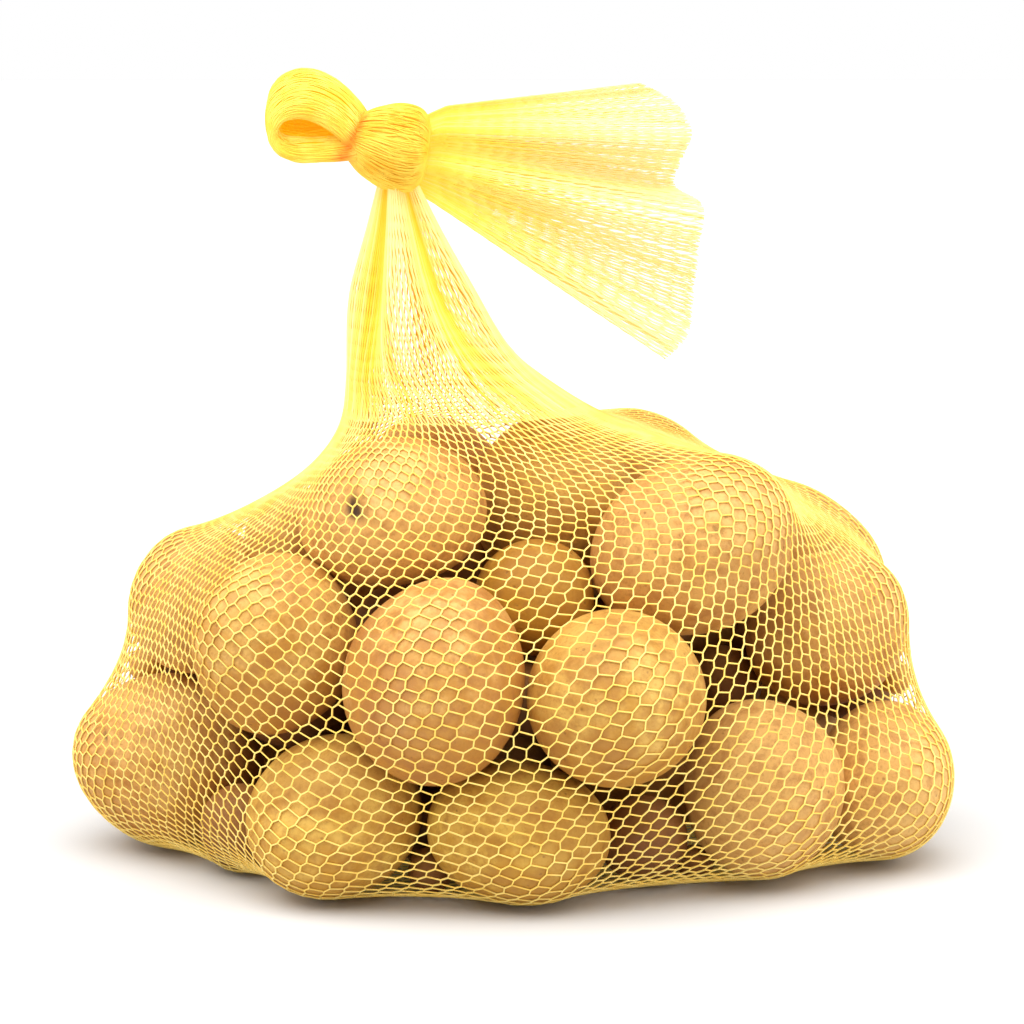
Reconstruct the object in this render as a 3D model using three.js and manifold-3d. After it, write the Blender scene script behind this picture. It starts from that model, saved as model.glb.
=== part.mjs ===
// A net of potatoes, tied at the top: one solid in which each potato shows and the net sinks between
// them, with a gathered neck, a slipped knot whose bight stands out as a loop, and a loose end as a fan.
import * as THREE from "three";
import { ParametricGeometry } from "three/addons/geometries/ParametricGeometry.js";
import { mergeVertices } from "three/addons/utils/BufferGeometryUtils.js";
import Module from "manifold-3d";

// Net, in mm
const NET_THICKNESS = 0.8;
const NET_COLUMNS = 76;
const BODY_ROWS = 40;
const TENSION_ALONG = 1.0;
const TENSION_AROUND = 1.5;
const FILLING_PRESSURE = 0.2;
const PRESSURE_EASES_FROM = 0.58;
const PRESSURE_EASES_TO = 0.8;
const GRIP = 0.7;
const TIGHTENING_ROUNDS = 420;
const FLAT_BELOW = 0.7;

// How far the net sinks between the potatoes, and the heights where it does so
const SINK_DEPTH = 10;
const SINK_STARTS = 1;
const SINK_FULL_FROM = 12;
const SINK_FULL_TO = 112;
const SINK_ENDS = 138;
const SINK_ROUNDS = 4;
const SINK_EASE = 0.5;

// Loose shape that the net has before it is drawn tight
const SLACK_HALF_LENGTH = 152;
const SLACK_HALF_DEPTH = 106;
const SLACK_HEIGHT = 152;
const FLOOR_SHARE = 0.3;
const SHOULDER_SHARE = 0.78;

// Neck, from the potatoes up to the knot
const NECK_ROWS = 10;
const NECK_STATIONS = [
  { height: 143, middle: -14, halfAcross: 38, halfDeep: 28 },
  { height: 152, middle: -20.5, halfAcross: 30.8, halfDeep: 24 },
  { height: 163.5, middle: -25.6, halfAcross: 24.4, halfDeep: 20.5 },
  { height: 180, middle: -28.4, halfAcross: 19.2, halfDeep: 15.5 },
  { height: 198, middle: -33, halfAcross: 10.4, halfDeep: 8.6 },
  { height: 212, middle: -34.8, halfAcross: 5.6, halfDeep: 5.6 },
];
const NECK_CLOSE_HEIGHT = 9;
const PLEATS = 6;
const PLEAT_DEPTH = 2.2;
const PLEAT_MOST_SHARE = 0.25;
const PLEAT_PHASE = 0.9;
const PLEAT_START_HEIGHT = 160;
const PLEAT_FULL_HEIGHT = 188;

const NET_ROWS = BODY_ROWS + NECK_ROWS;

// Knot: a pear-shaped wrap lying along X, narrow at the loop and full at the loose end
const KNOT_LEFT = { x: -53, y: -1, z: 226.5 };
const KNOT_PROFILE = [
  [0, 0],
  [2.5, 0.4],
  [5.6, 3.5],
  [9.6, 8],
  [12.4, 14],
  [13.4, 19.5],
  [12.6, 24],
  [9, 26.8],
  [4, 27.6],
  [0, 27.8],
];
const KNOT_SIDES = 24;
const KNOT_STEPS = 16;
const KNOT_TILT = 9;

// Loop: the bight of the slipped knot, a band that bends round an open eye
const LOOP_PATH = [
  [-47.5, 226.6],
  [-57, 223.1],
  [-66, 223.1],
  [-71.6, 226.4],
  [-73.6, 232.6],
  [-70.8, 239.4],
  [-64, 241.6],
  [-56, 238.6],
  [-49.5, 232.2],
];
const LOOP_HALF_THICK = [4.2, 4.4, 4.3, 2.6, 1.9, 4.2, 6.1, 5.6, 4.4];
const LOOP_HALF_DEPTH = 8;
const LOOP_DEPTH_SHIFT = -2;
const LOOP_STEPS = 36;
const LOOP_SIDES = 12;

// Loose end: a fan of two lobes, from inside the knot out to its cut edge
const FAN_ROOT_TOP = [-36, 229];
const FAN_ROOT_BOTTOM = [-36, 214];
const FAN_COLLAR_TOP = [-20, 236.2];
const FAN_COLLAR_BOTTOM = [-24, 206.5];
const FAN_EDGE = [
  [39, 243.4],
  [50, 237.4],
  [54.8, 229],
  [52.4, 220.5],
  [50.5, 211.5],
  [58.6, 206],
  [57.6, 194.6],
  [56.8, 180.6],
  [55, 166.6],
  [47.2, 158.8],
];
const FAN_COLLAR_SHARE = 0.17;
const FAN_THICKNESS = 3.2;
const FAN_ACROSS = 26;
const FAN_ALONG = 12;
const FAN_FLUTES = 2.6;
const FAN_FLUTE_DEPTH = 6.5;
const FAN_FLUTE_PHASE = 0.6;

// Corners this near each other are one
const WELD_DISTANCE = 1e-3;

// Finish
const NET_COLOUR = 0xf2c94c;
const NET_ROUGHNESS = 0.55;

// Potatoes: the middle, the three diameters, and the turns about Y and Z in degrees
const potato = (x, y, z, long, deep, high, tilt = 0, yaw = 0) => ({
  middle: new THREE.Vector3(x, y, z),
  half: new THREE.Vector3(long / 2, deep / 2, high / 2),
  turn: new THREE.Quaternion().setFromEuler(
    new THREE.Euler(0, THREE.MathUtils.degToRad(tilt), THREE.MathUtils.degToRad(yaw), "ZYX")
  ),
});

const LOWER_LAYER = [
  potato(1, -58, 23, 54, 50, 44, 4, 5),
  potato(-52, -50, 26, 53, 52, 49, -8, 0),
  potato(-109, 8, 28, 62, 54, 53, 14, 10),
  potato(77, -34, 31, 51, 50, 54, -12, 0),
  potato(117, -9, 26, 44, 54, 50, 6, 0),
  potato(38, 3, 25, 50, 48, 47, 0, 30),
  potato(-78, 58, 27, 54, 50, 52, 5, -15),
  potato(-24, 62, 26, 52, 52, 50, 0, 20),
  potato(30, 60, 26, 54, 50, 50, -6, 0),
  potato(87, 54, 27, 54, 50, 52, 4, 25),
  potato(-54, 7, 24, 44, 46, 46, 0, 0),
  potato(-10, 6, 24, 44, 46, 46, 0, 0),
];

const MIDDLE_LAYER = [
  potato(-22, -62, 71, 53, 54, 62, 4, 0),
  potato(30, -62, 65, 53, 52, 53, 16, 0),
  potato(-71.5, -40, 76, 49, 52, 54, 12, 0),
  potato(101, 5, 71, 52, 44, 50, -8, 0),
  potato(-100, 12, 78, 46, 50, 48, 10, 0),
  potato(-60, 40, 70, 50, 48, 46, 0, 20),
  potato(-8, 38, 68, 50, 48, 46, 6, 0),
  potato(48, 42, 66, 50, 48, 46, 0, -20),
  potato(-34, -8, 67, 44, 44, 42, 0, 0),
];

const UPPER_LAYER = [
  potato(-34, -26, 111, 60, 52, 46, -14, 0),
  potato(-26, 34, 113, 46, 48, 46, 0, 0),
  potato(16, 8, 112, 48, 50, 54, 8, 0),
  potato(54, -28, 104, 63, 52, 52, -22, 0),
  potato(6, -30, 89, 35, 34, 33, 0, 0),
  potato(98, 47, 88, 52, 44, 46, 20, 0),
  potato(48, 46, 113, 52, 48, 46, 10, 0),
];

const HEAP = [...LOWER_LAYER, ...MIDDLE_LAYER, ...UPPER_LAYER];
const SETTLING_ROUNDS = 80;
const SETTLING_SHARE = 0.5;

const wasm = await Module();
wasm.setup();

// How far a potato reaches from its middle in one direction
function reach(one, direction) {
  const local = direction.clone().applyQuaternion(one.turn.clone().invert());
  return 1 / local.divide(one.half).length();
}

// Potatoes that overlap are eased apart, and none lies below the net on the floor
function settle(heap) {
  const down = new THREE.Vector3(0, 0, -1);
  for (let round = 0; round < SETTLING_ROUNDS; round += 1) {
    for (let first = 0; first < heap.length; first += 1) {
      for (let second = first + 1; second < heap.length; second += 1) {
        const between = heap[second].middle.clone().sub(heap[first].middle);
        const distance = between.length();
        between.divideScalar(distance);
        const wanted = reach(heap[first], between) + reach(heap[second], between.clone().negate());
        if (distance < wanted) {
          between.multiplyScalar((wanted - distance) * 0.5 * SETTLING_SHARE);
          heap[first].middle.sub(between);
          heap[second].middle.add(between);
        }
      }
      const lowest = reach(heap[first], down) + NET_THICKNESS;
      heap[first].middle.z = Math.max(heap[first].middle.z, lowest);
    }
  }
}

// The neck between its stations: it rises from the potatoes to the knot
const neckLine = new THREE.CatmullRomCurve3(
  NECK_STATIONS.map((station) => new THREE.Vector3(station.middle, 0, station.height))
);
const neckWidth = new THREE.SplineCurve(
  NECK_STATIONS.map((station) => new THREE.Vector2(station.halfAcross, station.halfDeep))
);

function neckPoint(column, share) {
  const angle = (column / NET_COLUMNS) * 2 * Math.PI;
  const half = neckWidth.getPoint(share);
  const offset = new THREE.Vector3(half.x * Math.cos(angle), half.y * Math.sin(angle), 0);
  return neckLine.getPoint(share).add(offset);
}

// The loose net: along the floor, up the sides and in to the neck
function slackPoint(column, row) {
  const angle = (column / NET_COLUMNS) * 2 * Math.PI;
  const edge = new THREE.Vector3(Math.cos(angle), Math.sin(angle), 0);
  edge.multiply(new THREE.Vector3(SLACK_HALF_LENGTH, SLACK_HALF_DEPTH, 0));
  const shoulder = edge.clone().setZ(SLACK_HEIGHT);
  const share = row / BODY_ROWS;
  if (share > 1) {
    return neckPoint(column, (row - BODY_ROWS) / NECK_ROWS);
  }
  if (share <= FLOOR_SHARE) {
    return edge.multiplyScalar(share / FLOOR_SHARE);
  }
  if (share <= SHOULDER_SHARE) {
    return edge.lerp(shoulder, (share - FLOOR_SHARE) / (SHOULDER_SHARE - FLOOR_SHARE));
  }
  return shoulder.lerp(neckPoint(column, 0), (share - SHOULDER_SHARE) / (1 - SHOULDER_SHARE));
}

// A point of the net that lies in a potato comes out to its skin, and grips it as it is pressed on
function pushOut(point, before, shapes) {
  for (const shape of shapes) {
    const local = point.clone().sub(shape.middle);
    if (local.lengthSq() > shape.farthestSq) {
      continue;
    }
    local.applyQuaternion(shape.back);
    const depth = local.clone().divide(shape.half).length();
    if (depth < 1 && depth > 0) {
      const skin = local.divideScalar(depth).applyQuaternion(shape.turn).add(shape.middle);
      const press = skin.clone().sub(point);
      const pressure = press.length();
      const slide = skin.clone().sub(before).projectOnPlane(press.normalize());
      const slid = slide.length();
      point.copy(skin).addScaledVector(slide, slid > 0 ? -Math.min(1, (GRIP * pressure) / slid) : 0);
    }
  }
}

// The skins that the net lies on
function skinsOf(heap) {
  return heap.map((one) => {
    const half = one.half.clone().addScalar(NET_THICKNESS);
    const farthestSq = Math.max(half.x, half.y, half.z) ** 2;
    const back = one.turn.clone().invert();
    return { middle: one.middle, half, turn: one.turn, back, farthestSq };
  });
}

// The net drawn tight over the potatoes
function tightNet(shapes) {
  const net = [];
  for (let row = 0; row <= NET_ROWS; row += 1) {
    net.push(Array.from({ length: NET_COLUMNS }, (_, column) => slackPoint(column, row)));
  }
  const pulled = new THREE.Vector3();
  const rise = new THREE.Vector3();
  const outward = new THREE.Vector3();
  for (let round = 0; round < TIGHTENING_ROUNDS; round += 1) {
    for (let row = 1; row < BODY_ROWS; row += 1) {
      const eased = THREE.MathUtils.smoothstep(row / BODY_ROWS, PRESSURE_EASES_FROM, PRESSURE_EASES_TO);
      for (let column = 0; column < NET_COLUMNS; column += 1) {
        const left = net[row][(column + NET_COLUMNS - 1) % NET_COLUMNS];
        const right = net[row][(column + 1) % NET_COLUMNS];
        pulled.copy(net[row - 1][column]).add(net[row + 1][column]).multiplyScalar(TENSION_ALONG);
        pulled.addScaledVector(left, TENSION_AROUND).addScaledVector(right, TENSION_AROUND);
        pulled.divideScalar(2 * (TENSION_ALONG + TENSION_AROUND));
        rise.subVectors(net[row + 1][column], net[row - 1][column]);
        outward.subVectors(right, left).cross(rise).normalize();
        pulled.addScaledVector(outward, FILLING_PRESSURE * (1 - eased));
        pushOut(pulled, net[row][column], shapes);
        pulled.z = Math.max(pulled.z, 0);
        net[row][column].copy(pulled);
      }
    }
  }
  return net;
}

// How far a line goes from a point before it meets a potato
function roomBefore(point, direction, shape) {
  const from = point.clone().sub(shape.middle).applyQuaternion(shape.back).divide(shape.half);
  const step = direction.clone().applyQuaternion(shape.back).divide(shape.half);
  const nearing = -from.dot(step);
  const meets = nearing ** 2 - step.lengthSq() * (from.lengthSq() - 1);
  if (nearing < 0 || meets < 0) {
    return Infinity;
  }
  return Math.max(0, (nearing - Math.sqrt(meets)) / step.lengthSq());
}

// The net sinks in between the potatoes, but not on the floor nor at the neck
function sinkBetween(net, shapes) {
  const inwardAt = (row, column) => {
    const left = net[row][(column + NET_COLUMNS - 1) % NET_COLUMNS];
    const right = net[row][(column + 1) % NET_COLUMNS];
    const rise = net[row + 1][column].clone().sub(net[row - 1][column]);
    return rise.cross(right.clone().sub(left)).normalize();
  };
  let depths = net.map((ring, row) =>
    ring.map((point, column) => {
      if (row === 0 || row >= BODY_ROWS) {
        return 0;
      }
      const inward = inwardAt(row, column);
      const above = THREE.MathUtils.smoothstep(point.z, SINK_STARTS, SINK_FULL_FROM);
      const below = 1 - THREE.MathUtils.smoothstep(point.z, SINK_FULL_TO, SINK_ENDS);
      const rooms = shapes.map((shape) => roomBefore(point, inward, shape));
      return Math.min(SINK_DEPTH * above * below, ...rooms);
    })
  );
  for (let round = 0; round < SINK_ROUNDS; round += 1) {
    depths = depths.map((ring, row) =>
      ring.map((depth, column) => {
        if (row === 0 || row >= BODY_ROWS) {
          return 0;
        }
        const beside = ring[(column + NET_COLUMNS - 1) % NET_COLUMNS] + ring[(column + 1) % NET_COLUMNS];
        const around = (beside + depths[row - 1][column] + depths[row + 1][column]) / 4;
        return Math.min(depth, THREE.MathUtils.lerp(depth, around, SINK_EASE));
      })
    );
  }
  return net.map((ring, row) =>
    ring.map((point, column) => {
      const depth = depths[row][column];
      return depth > 0 ? point.clone().addScaledVector(inwardAt(row, column), depth) : point;
    })
  );
}

// Pleats stand out in the neck and fade towards the potatoes, and the base is pressed flat
function pleatAndFlatten(net) {
  for (const ring of net) {
    const centre = ring.reduce((sum, point) => sum.add(point), new THREE.Vector3());
    centre.divideScalar(NET_COLUMNS);
    ring.forEach((point, column) => {
      const fade = THREE.MathUtils.smoothstep(point.z, PLEAT_START_HEIGHT, PLEAT_FULL_HEIGHT);
      const angle = (column / NET_COLUMNS) * 2 * Math.PI;
      const outward = point.clone().sub(centre).setZ(0);
      const depth = Math.min(PLEAT_DEPTH, outward.length() * PLEAT_MOST_SHARE) * fade;
      point.addScaledVector(outward.normalize(), depth * Math.cos(PLEATS * angle + PLEAT_PHASE));
      if (point.z < FLAT_BELOW) {
        point.z = 0;
      }
    });
  }
}

function solidOf(geometry) {
  const bare = geometry.clone();
  bare.deleteAttribute("normal");
  bare.deleteAttribute("uv");
  const merged = mergeVertices(bare, WELD_DISTANCE);
  const corners = [];
  const index = merged.index.array;
  for (let corner = 0; corner < index.length; corner += 3) {
    const [a, b, c] = index.subarray(corner, corner + 3);
    if (a !== b && b !== c && c !== a) {
      corners.push(a, b, c);
    }
  }
  const vertProperties = new Float32Array(merged.attributes.position.array);
  const triVerts = new Uint32Array(corners);
  return new wasm.Manifold(new wasm.Mesh({ numProp: 3, vertProperties, triVerts }));
}

function bodySolid(net) {
  const closing = neckLine.getPoint(1);
  closing.z += NECK_CLOSE_HEIGHT;
  const stacks = NET_ROWS + 1;
  const place = (u, v, target) => {
    const column = Math.round(u * NET_COLUMNS) % NET_COLUMNS;
    const row = Math.round(v * stacks);
    target.copy(row > NET_ROWS ? closing : net[row][column]);
  };
  return solidOf(new ParametricGeometry(place, NET_COLUMNS, stacks));
}

function knotSolid() {
  const profile = new THREE.SplineCurve(KNOT_PROFILE.map(([out, along]) => new THREE.Vector2(out, along)));
  const points = profile.getPoints(KNOT_STEPS);
  points[0].x = 0;
  points[points.length - 1].x = 0;
  points.forEach((point) => {
    point.x = Math.max(point.x, 0);
  });
  const pear = new THREE.LatheGeometry(points, KNOT_SIDES);
  pear.rotateZ(-Math.PI / 2);
  pear.rotateY(THREE.MathUtils.degToRad(KNOT_TILT));
  pear.translate(KNOT_LEFT.x, KNOT_LEFT.y, KNOT_LEFT.z);
  return solidOf(pear);
}

function loopSolid() {
  const path = new THREE.CatmullRomCurve3(
    LOOP_PATH.map(([x, z], step) => new THREE.Vector3(x, LOOP_HALF_THICK[step], z)),
    true
  );
  const place = (u, v, target) => {
    const share = u % 1;
    const at = path.getPoint(share);
    const along = path.getTangent(share).setY(0).normalize();
    const across = new THREE.Vector3(-along.z, 0, along.x);
    const angle = v * 2 * Math.PI;
    target.set(at.x, LOOP_DEPTH_SHIFT + LOOP_HALF_DEPTH * Math.sin(angle), at.z);
    target.addScaledVector(across, at.y * Math.cos(angle));
  };
  return solidOf(new ParametricGeometry(place, LOOP_STEPS, LOOP_SIDES));
}

function fanSolid() {
  const edge = new THREE.CatmullRomCurve3(FAN_EDGE.map(([x, z]) => new THREE.Vector3(x, 0, z)));
  const line = (top, bottom, share) =>
    new THREE.Vector3(top[0], 0, top[1]).lerp(new THREE.Vector3(bottom[0], 0, bottom[1]), share);
  const place = (u, v, target) => {
    const front = u <= 0.5;
    const share = front ? u * 2 : 2 - u * 2;
    const root = line(FAN_ROOT_TOP, FAN_ROOT_BOTTOM, share);
    const collar = line(FAN_COLLAR_TOP, FAN_COLLAR_BOTTOM, share);
    const end = edge.getPoint(share);
    if (v < FAN_COLLAR_SHARE) {
      target.copy(root.lerp(collar, v / FAN_COLLAR_SHARE));
    } else {
      target.copy(collar.lerp(end, (v - FAN_COLLAR_SHARE) / (1 - FAN_COLLAR_SHARE)));
    }
    const flute = Math.sin(2 * Math.PI * FAN_FLUTES * share + FAN_FLUTE_PHASE);
    const thick = FAN_THICKNESS * Math.sqrt(Math.max(0, Math.sin(Math.PI * v))) * Math.sin(Math.PI * share);
    target.y = FAN_FLUTE_DEPTH * v * flute + (front ? -0.5 : 0.5) * thick;
  };
  return solidOf(new ParametricGeometry(place, FAN_ACROSS * 2, FAN_ALONG));
}

function geometryOf(solid) {
  const mesh = solid.getMesh();
  const geometry = new THREE.BufferGeometry();
  const places = new Float32Array(mesh.numVert * 3);
  for (let vertex = 0; vertex < mesh.numVert; vertex += 1) {
    places.set(mesh.vertProperties.subarray(vertex * mesh.numProp, vertex * mesh.numProp + 3), vertex * 3);
  }
  geometry.setAttribute("position", new THREE.BufferAttribute(places, 3));
  geometry.setIndex(new THREE.BufferAttribute(new Uint32Array(mesh.triVerts), 1));
  geometry.computeBoundingBox();
  const box = geometry.boundingBox;
  geometry.translate(-(box.min.x + box.max.x) / 2, -(box.min.y + box.max.y) / 2, -box.min.z);
  geometry.computeVertexNormals();
  return geometry;
}

settle(HEAP);
const skins = skinsOf(HEAP);
const net = sinkBetween(tightNet(skins), skins);
pleatAndFlatten(net);
const whole = bodySolid(net).add(knotSolid()).add(loopSolid()).add(fanSolid());

const material = new THREE.MeshStandardMaterial({ color: NET_COLOUR, roughness: NET_ROUGHNESS });
const filledNet = new THREE.Mesh(geometryOf(whole), material);
filledNet.name = "filled_net";

const part = new THREE.Group();
part.add(filledNet);
export default part;
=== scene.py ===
"""A tied yellow net full of washed potatoes: heap, knitted net, neck, knot, loop and loose end."""

import logging
import math
from dataclasses import dataclass
from enum import Enum
from typing import Any

import bpy
import numpy as np
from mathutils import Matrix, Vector


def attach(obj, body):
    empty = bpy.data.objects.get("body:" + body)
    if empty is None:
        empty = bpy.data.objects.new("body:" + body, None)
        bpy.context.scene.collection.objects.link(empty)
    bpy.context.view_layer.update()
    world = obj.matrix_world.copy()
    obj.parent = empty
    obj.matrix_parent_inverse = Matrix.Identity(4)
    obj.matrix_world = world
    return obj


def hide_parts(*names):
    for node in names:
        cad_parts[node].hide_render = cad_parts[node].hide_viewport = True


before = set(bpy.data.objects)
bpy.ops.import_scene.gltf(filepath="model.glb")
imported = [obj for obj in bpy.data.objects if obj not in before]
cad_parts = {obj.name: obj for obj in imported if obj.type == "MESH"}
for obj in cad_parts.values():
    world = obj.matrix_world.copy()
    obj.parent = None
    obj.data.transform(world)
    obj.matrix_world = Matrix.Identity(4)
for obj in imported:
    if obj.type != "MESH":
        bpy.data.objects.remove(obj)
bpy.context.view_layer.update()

LOG = logging.getLogger("net_of_potatoes")

Array = np.ndarray
Pair = tuple[float, float]
Triple = tuple[float, float, float]
Colour = tuple[float, float, float, float]
# A wave on the net: its height, how often it comes round and along the net, and where it starts
Wave = tuple[float, float, float, float]

MM = 0.001
FULL_TURN = 2 * math.pi
# From the frame of the heap to that of the part, in millimetres
FRAME_SHIFT = np.array([-0.05, 0.69, 0.0])
SOLID_NAME = "filled_net"
BODY_NAME = "root"


class Slot(Enum):
    """The record's material slots."""

    NET = "net"
    POTATO_SKIN = "potato_skin"


class Side(Enum):
    """The two layers of the flattened loose end."""

    FRONT = -1.0
    BACK = 1.0


def unit(vectors: Array) -> Array:
    """Vectors scaled to a length of one."""
    return vectors / np.maximum(np.linalg.norm(vectors, axis=-1, keepdims=True), 1e-12)


def smooth_step(value: Array | float, low: float, high: float) -> Array:
    """A soft step from 0 at low to 1 at high."""
    share = np.clip((np.asarray(value, float) - low) / (high - low), 0.0, 1.0)
    return share * share * (3 - 2 * share)


def spline(points: Array, share: Array | float, closed: bool = False) -> Array:
    """Points on a smooth curve through the given ones.

    Args:
        points: The points to pass through, one to a row.
        share: Places along the curve from 0 to 1.
        closed: True for a ring.

    Returns:
        One row for each share.
    """
    points = np.asarray(points, float)
    count = len(points)
    at = np.atleast_1d(np.asarray(share, float)) * (count if closed else count - 1)
    first = np.floor(at).astype(int)
    if not closed:
        first = np.clip(first, 0, count - 2)
    t = (at - first)[:, None]
    near = []
    for step in (-1, 0, 1, 2):
        index = (first + step) % count if closed else first + step
        row = points[np.clip(index, 0, count - 1)]
        if not closed and step == -1:
            row = np.where((index < 0)[:, None], 2 * points[0] - points[1], row)
        if not closed and step == 2:
            row = np.where((index >= count)[:, None], 2 * points[-1] - points[-2], row)
        near.append(row)
    a, b, c, d = near
    return 0.5 * (
        2 * b + (c - a) * t + (2 * a - 5 * b + 4 * c - d) * t**2 + (3 * b - a - 3 * c + d) * t**3
    )


class Value:
    """A socket of a shader tree that takes part in sums."""

    def __init__(self, graph: "Graph", socket: bpy.types.NodeSocket) -> None:
        """Keeps the socket and the tree that it belongs to."""
        self.graph = graph
        self.socket = socket

    def __add__(self, other: "Value | float") -> "Value":
        """Sum."""
        return self.graph.maths("ADD", self, other)

    __radd__ = __add__

    def __sub__(self, other: "Value | float") -> "Value":
        """Difference."""
        return self.graph.maths("SUBTRACT", self, other)

    def __rsub__(self, other: float) -> "Value":
        """Difference from a number."""
        return self.graph.maths("SUBTRACT", other, self)

    def __mul__(self, other: "Value | float") -> "Value":
        """Product."""
        return self.graph.maths("MULTIPLY", self, other)

    __rmul__ = __mul__

    def step(self, low: float, high: float) -> "Value":
        """A soft step from 0 at low to 1 at high."""
        settings = {"interpolation_type": "SMOOTHSTEP"}
        return self.graph.node(
            "ShaderNodeMapRange", settings, {"Value": self, "From Min": low, "From Max": high}
        )


class Graph:
    """The node tree of one material."""

    def __init__(self, name: str) -> None:
        """Starts an empty material.

        Args:
            name: The material's name.
        """
        self.material = bpy.data.materials.new(name)
        self.material.use_nodes = True
        self.tree = self.material.node_tree
        self.tree.nodes.clear()

    def node(
        self,
        kind: str,
        settings: dict[str, Any] | None = None,
        inputs: dict[str | int, Any] | None = None,
        output: str | int = 0,
    ) -> Value:
        """Adds one node.

        Args:
            kind: The node's type.
            settings: The node's own properties, which are set first.
            inputs: Values or links for its sockets.
            output: The socket that is handed back.

        Returns:
            The chosen output.
        """
        made = self.tree.nodes.new(kind)
        for name, value in (settings or {}).items():
            setattr(made, name, value)
        for name, value in (inputs or {}).items():
            if isinstance(value, Value):
                self.tree.links.new(value.socket, made.inputs[name])
            else:
                made.inputs[name].default_value = value
        return Value(self, made.outputs[output])

    def maths(self, operation: str, first: Value | float, second: Value | float) -> Value:
        """One Math node on two values."""
        return self.node("ShaderNodeMath", {"operation": operation}, {0: first, 1: second})

    def place(self) -> Value:
        """The place on the piece, in metres."""
        return self.node("ShaderNodeTexCoord", output="Object")

    def attribute(self, name: str) -> Value:
        """A number kept on the piece's points."""
        return self.node("ShaderNodeAttribute", {"attribute_name": name}, output="Fac")

    def noise(self, where: Value, scale: float, detail: float = 2.0, roughness: float = 0.5) -> Value:
        """Soft noise of the given scale for each metre."""
        inputs = {"Vector": where, "Scale": scale, "Detail": detail, "Roughness": roughness}
        return self.node("ShaderNodeTexNoise", inputs=inputs)

    def mix(
        self, share: Value | float, first: Value | Colour, second: Value | Colour, blend: str = "MIX"
    ) -> Value:
        """One colour over another."""
        settings = {"data_type": "RGBA", "blend_type": blend}
        return self.node("ShaderNodeMix", settings, {0: share, 6: first, 7: second}, 2)

    def finish(self, inputs: dict[str | int, Any]) -> bpy.types.Material:
        """Closes the tree with one Principled shader.

        Args:
            inputs: Values or links for the shader's sockets.

        Returns:
            The finished material.
        """
        shader = self.node("ShaderNodeBsdfPrincipled", inputs=inputs)
        end = self.tree.nodes.new("ShaderNodeOutputMaterial")
        self.tree.links.new(shader.socket, end.inputs["Surface"])
        return self.material


@dataclass(frozen=True)
class Pattern:
    """One noise of a material, and the band of it that shows."""

    scale: float
    detail: float
    roughness: float
    band: Pair

    def lay(self, graph: Graph, where: Value) -> Value:
        """The noise itself."""
        return graph.noise(where, self.scale, self.detail, self.roughness)


@dataclass(frozen=True)
class PotatoSkin:
    """Dry washed skin: pale tan, mottled, speckled, with brown eyes."""

    pale: Colour = (0.735, 0.435, 0.13, 1)
    tan: Colour = (0.53, 0.252, 0.044, 1)
    ruddy: Colour = (0.42, 0.178, 0.046, 1)
    speckle: Colour = (0.2, 0.08, 0.022, 1)
    eye: Colour = (0.035, 0.012, 0.005, 1)
    golden: Colour = (0.95, 1.02, 0.58, 1)
    mottle: Pattern = Pattern(85, 4, 0.6, (0.34, 0.64))
    patches: Pattern = Pattern(32, 3, 0.55, (0.44, 0.64))
    blotches: Pattern = Pattern(190, 3, 0.6, (0.46, 0.66))
    grain: Pattern = Pattern(900, 4, 0.65, (0.48, 0.7))
    specks: Pattern = Pattern(210, 1, 0.5, (0.48, 0.62))
    speck_scale: float = 330.0
    speck_rim: Pair = (0.05, 0.24)
    eye_rim: Pair = (0.1, 0.9)
    tan_tint: Pair = (0.6, -0.3)
    patch_tint: Pair = (0.45, 0.35)
    # Painted shade: a tint above 1 turns the skin dark, for potatoes that fill the gaps
    painted_gap_shade_tint: Pair = (1.0, 2.0)
    blotch_share: float = 0.5
    grain_share: float = 0.4
    speck_share: float = 0.5
    eye_share: float = 0.97
    roughness: float = 0.52
    grain_roughness: float = 0.2
    shine: float = 0.35
    relief: tuple[float, float, float, float] = (0.35, 0.5, 0.25, -0.4)
    relief_strength: float = 0.45
    relief_depth: float = 0.0007

    def build(self) -> bpy.types.Material:
        """Makes the material, which reads the tint, gold and eye of each point.

        Returns:
            The material.
        """
        g = Graph("potato_skin")
        where = g.place()
        patterns = (self.mottle, self.patches, self.blotches, self.grain, self.specks)
        mottle, patch, blotch, grain, speck = (pattern.lay(g, where) for pattern in patterns)
        inputs = {"Vector": where, "Scale": self.speck_scale, "Randomness": 1.0}
        cells = g.node("ShaderNodeTexVoronoi", inputs=inputs)
        speckle = (1 - cells.step(*self.speck_rim)) * speck.step(*self.specks.band)
        tint = g.attribute("tint")
        tanned = (mottle + tint * self.tan_tint[0] + self.tan_tint[1]).step(*self.mottle.band)
        patched = patch.step(*self.patches.band) * (tint * self.patch_tint[0] + self.patch_tint[1])
        layers = (
            (patched, self.ruddy, "MIX"),
            (blotch.step(*self.blotches.band) * self.blotch_share, self.ruddy, "MIX"),
            (grain.step(*self.grain.band) * self.grain_share, self.ruddy, "MIX"),
            (g.attribute("gold"), self.golden, "MULTIPLY"),
            (speckle * self.speck_share, self.speckle, "MIX"),
            (g.attribute("eye").step(*self.eye_rim) * self.eye_share, self.eye, "MIX"),
            # Painted shade: potatoes with a tint above 1 go dark, as the gaps between potatoes are in shade
            (tint.step(*self.painted_gap_shade_tint), self.speckle, "MIX"),
        )
        ground = g.mix(tanned, self.pale, self.tan)
        for share, colour, blend in layers:
            ground = g.mix(share, ground, colour, blend)
        a, b, c, d = self.relief
        height = grain * a + mottle * b + blotch * c + speckle * d
        inputs = {"Strength": self.relief_strength, "Distance": self.relief_depth, "Height": height}
        return g.finish(
            {
                "Base Color": ground,
                "Roughness": grain * self.grain_roughness + self.roughness,
                "Normal": g.node("ShaderNodeBump", inputs=inputs),
                "Specular IOR Level": self.shine,
            }
        )


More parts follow.
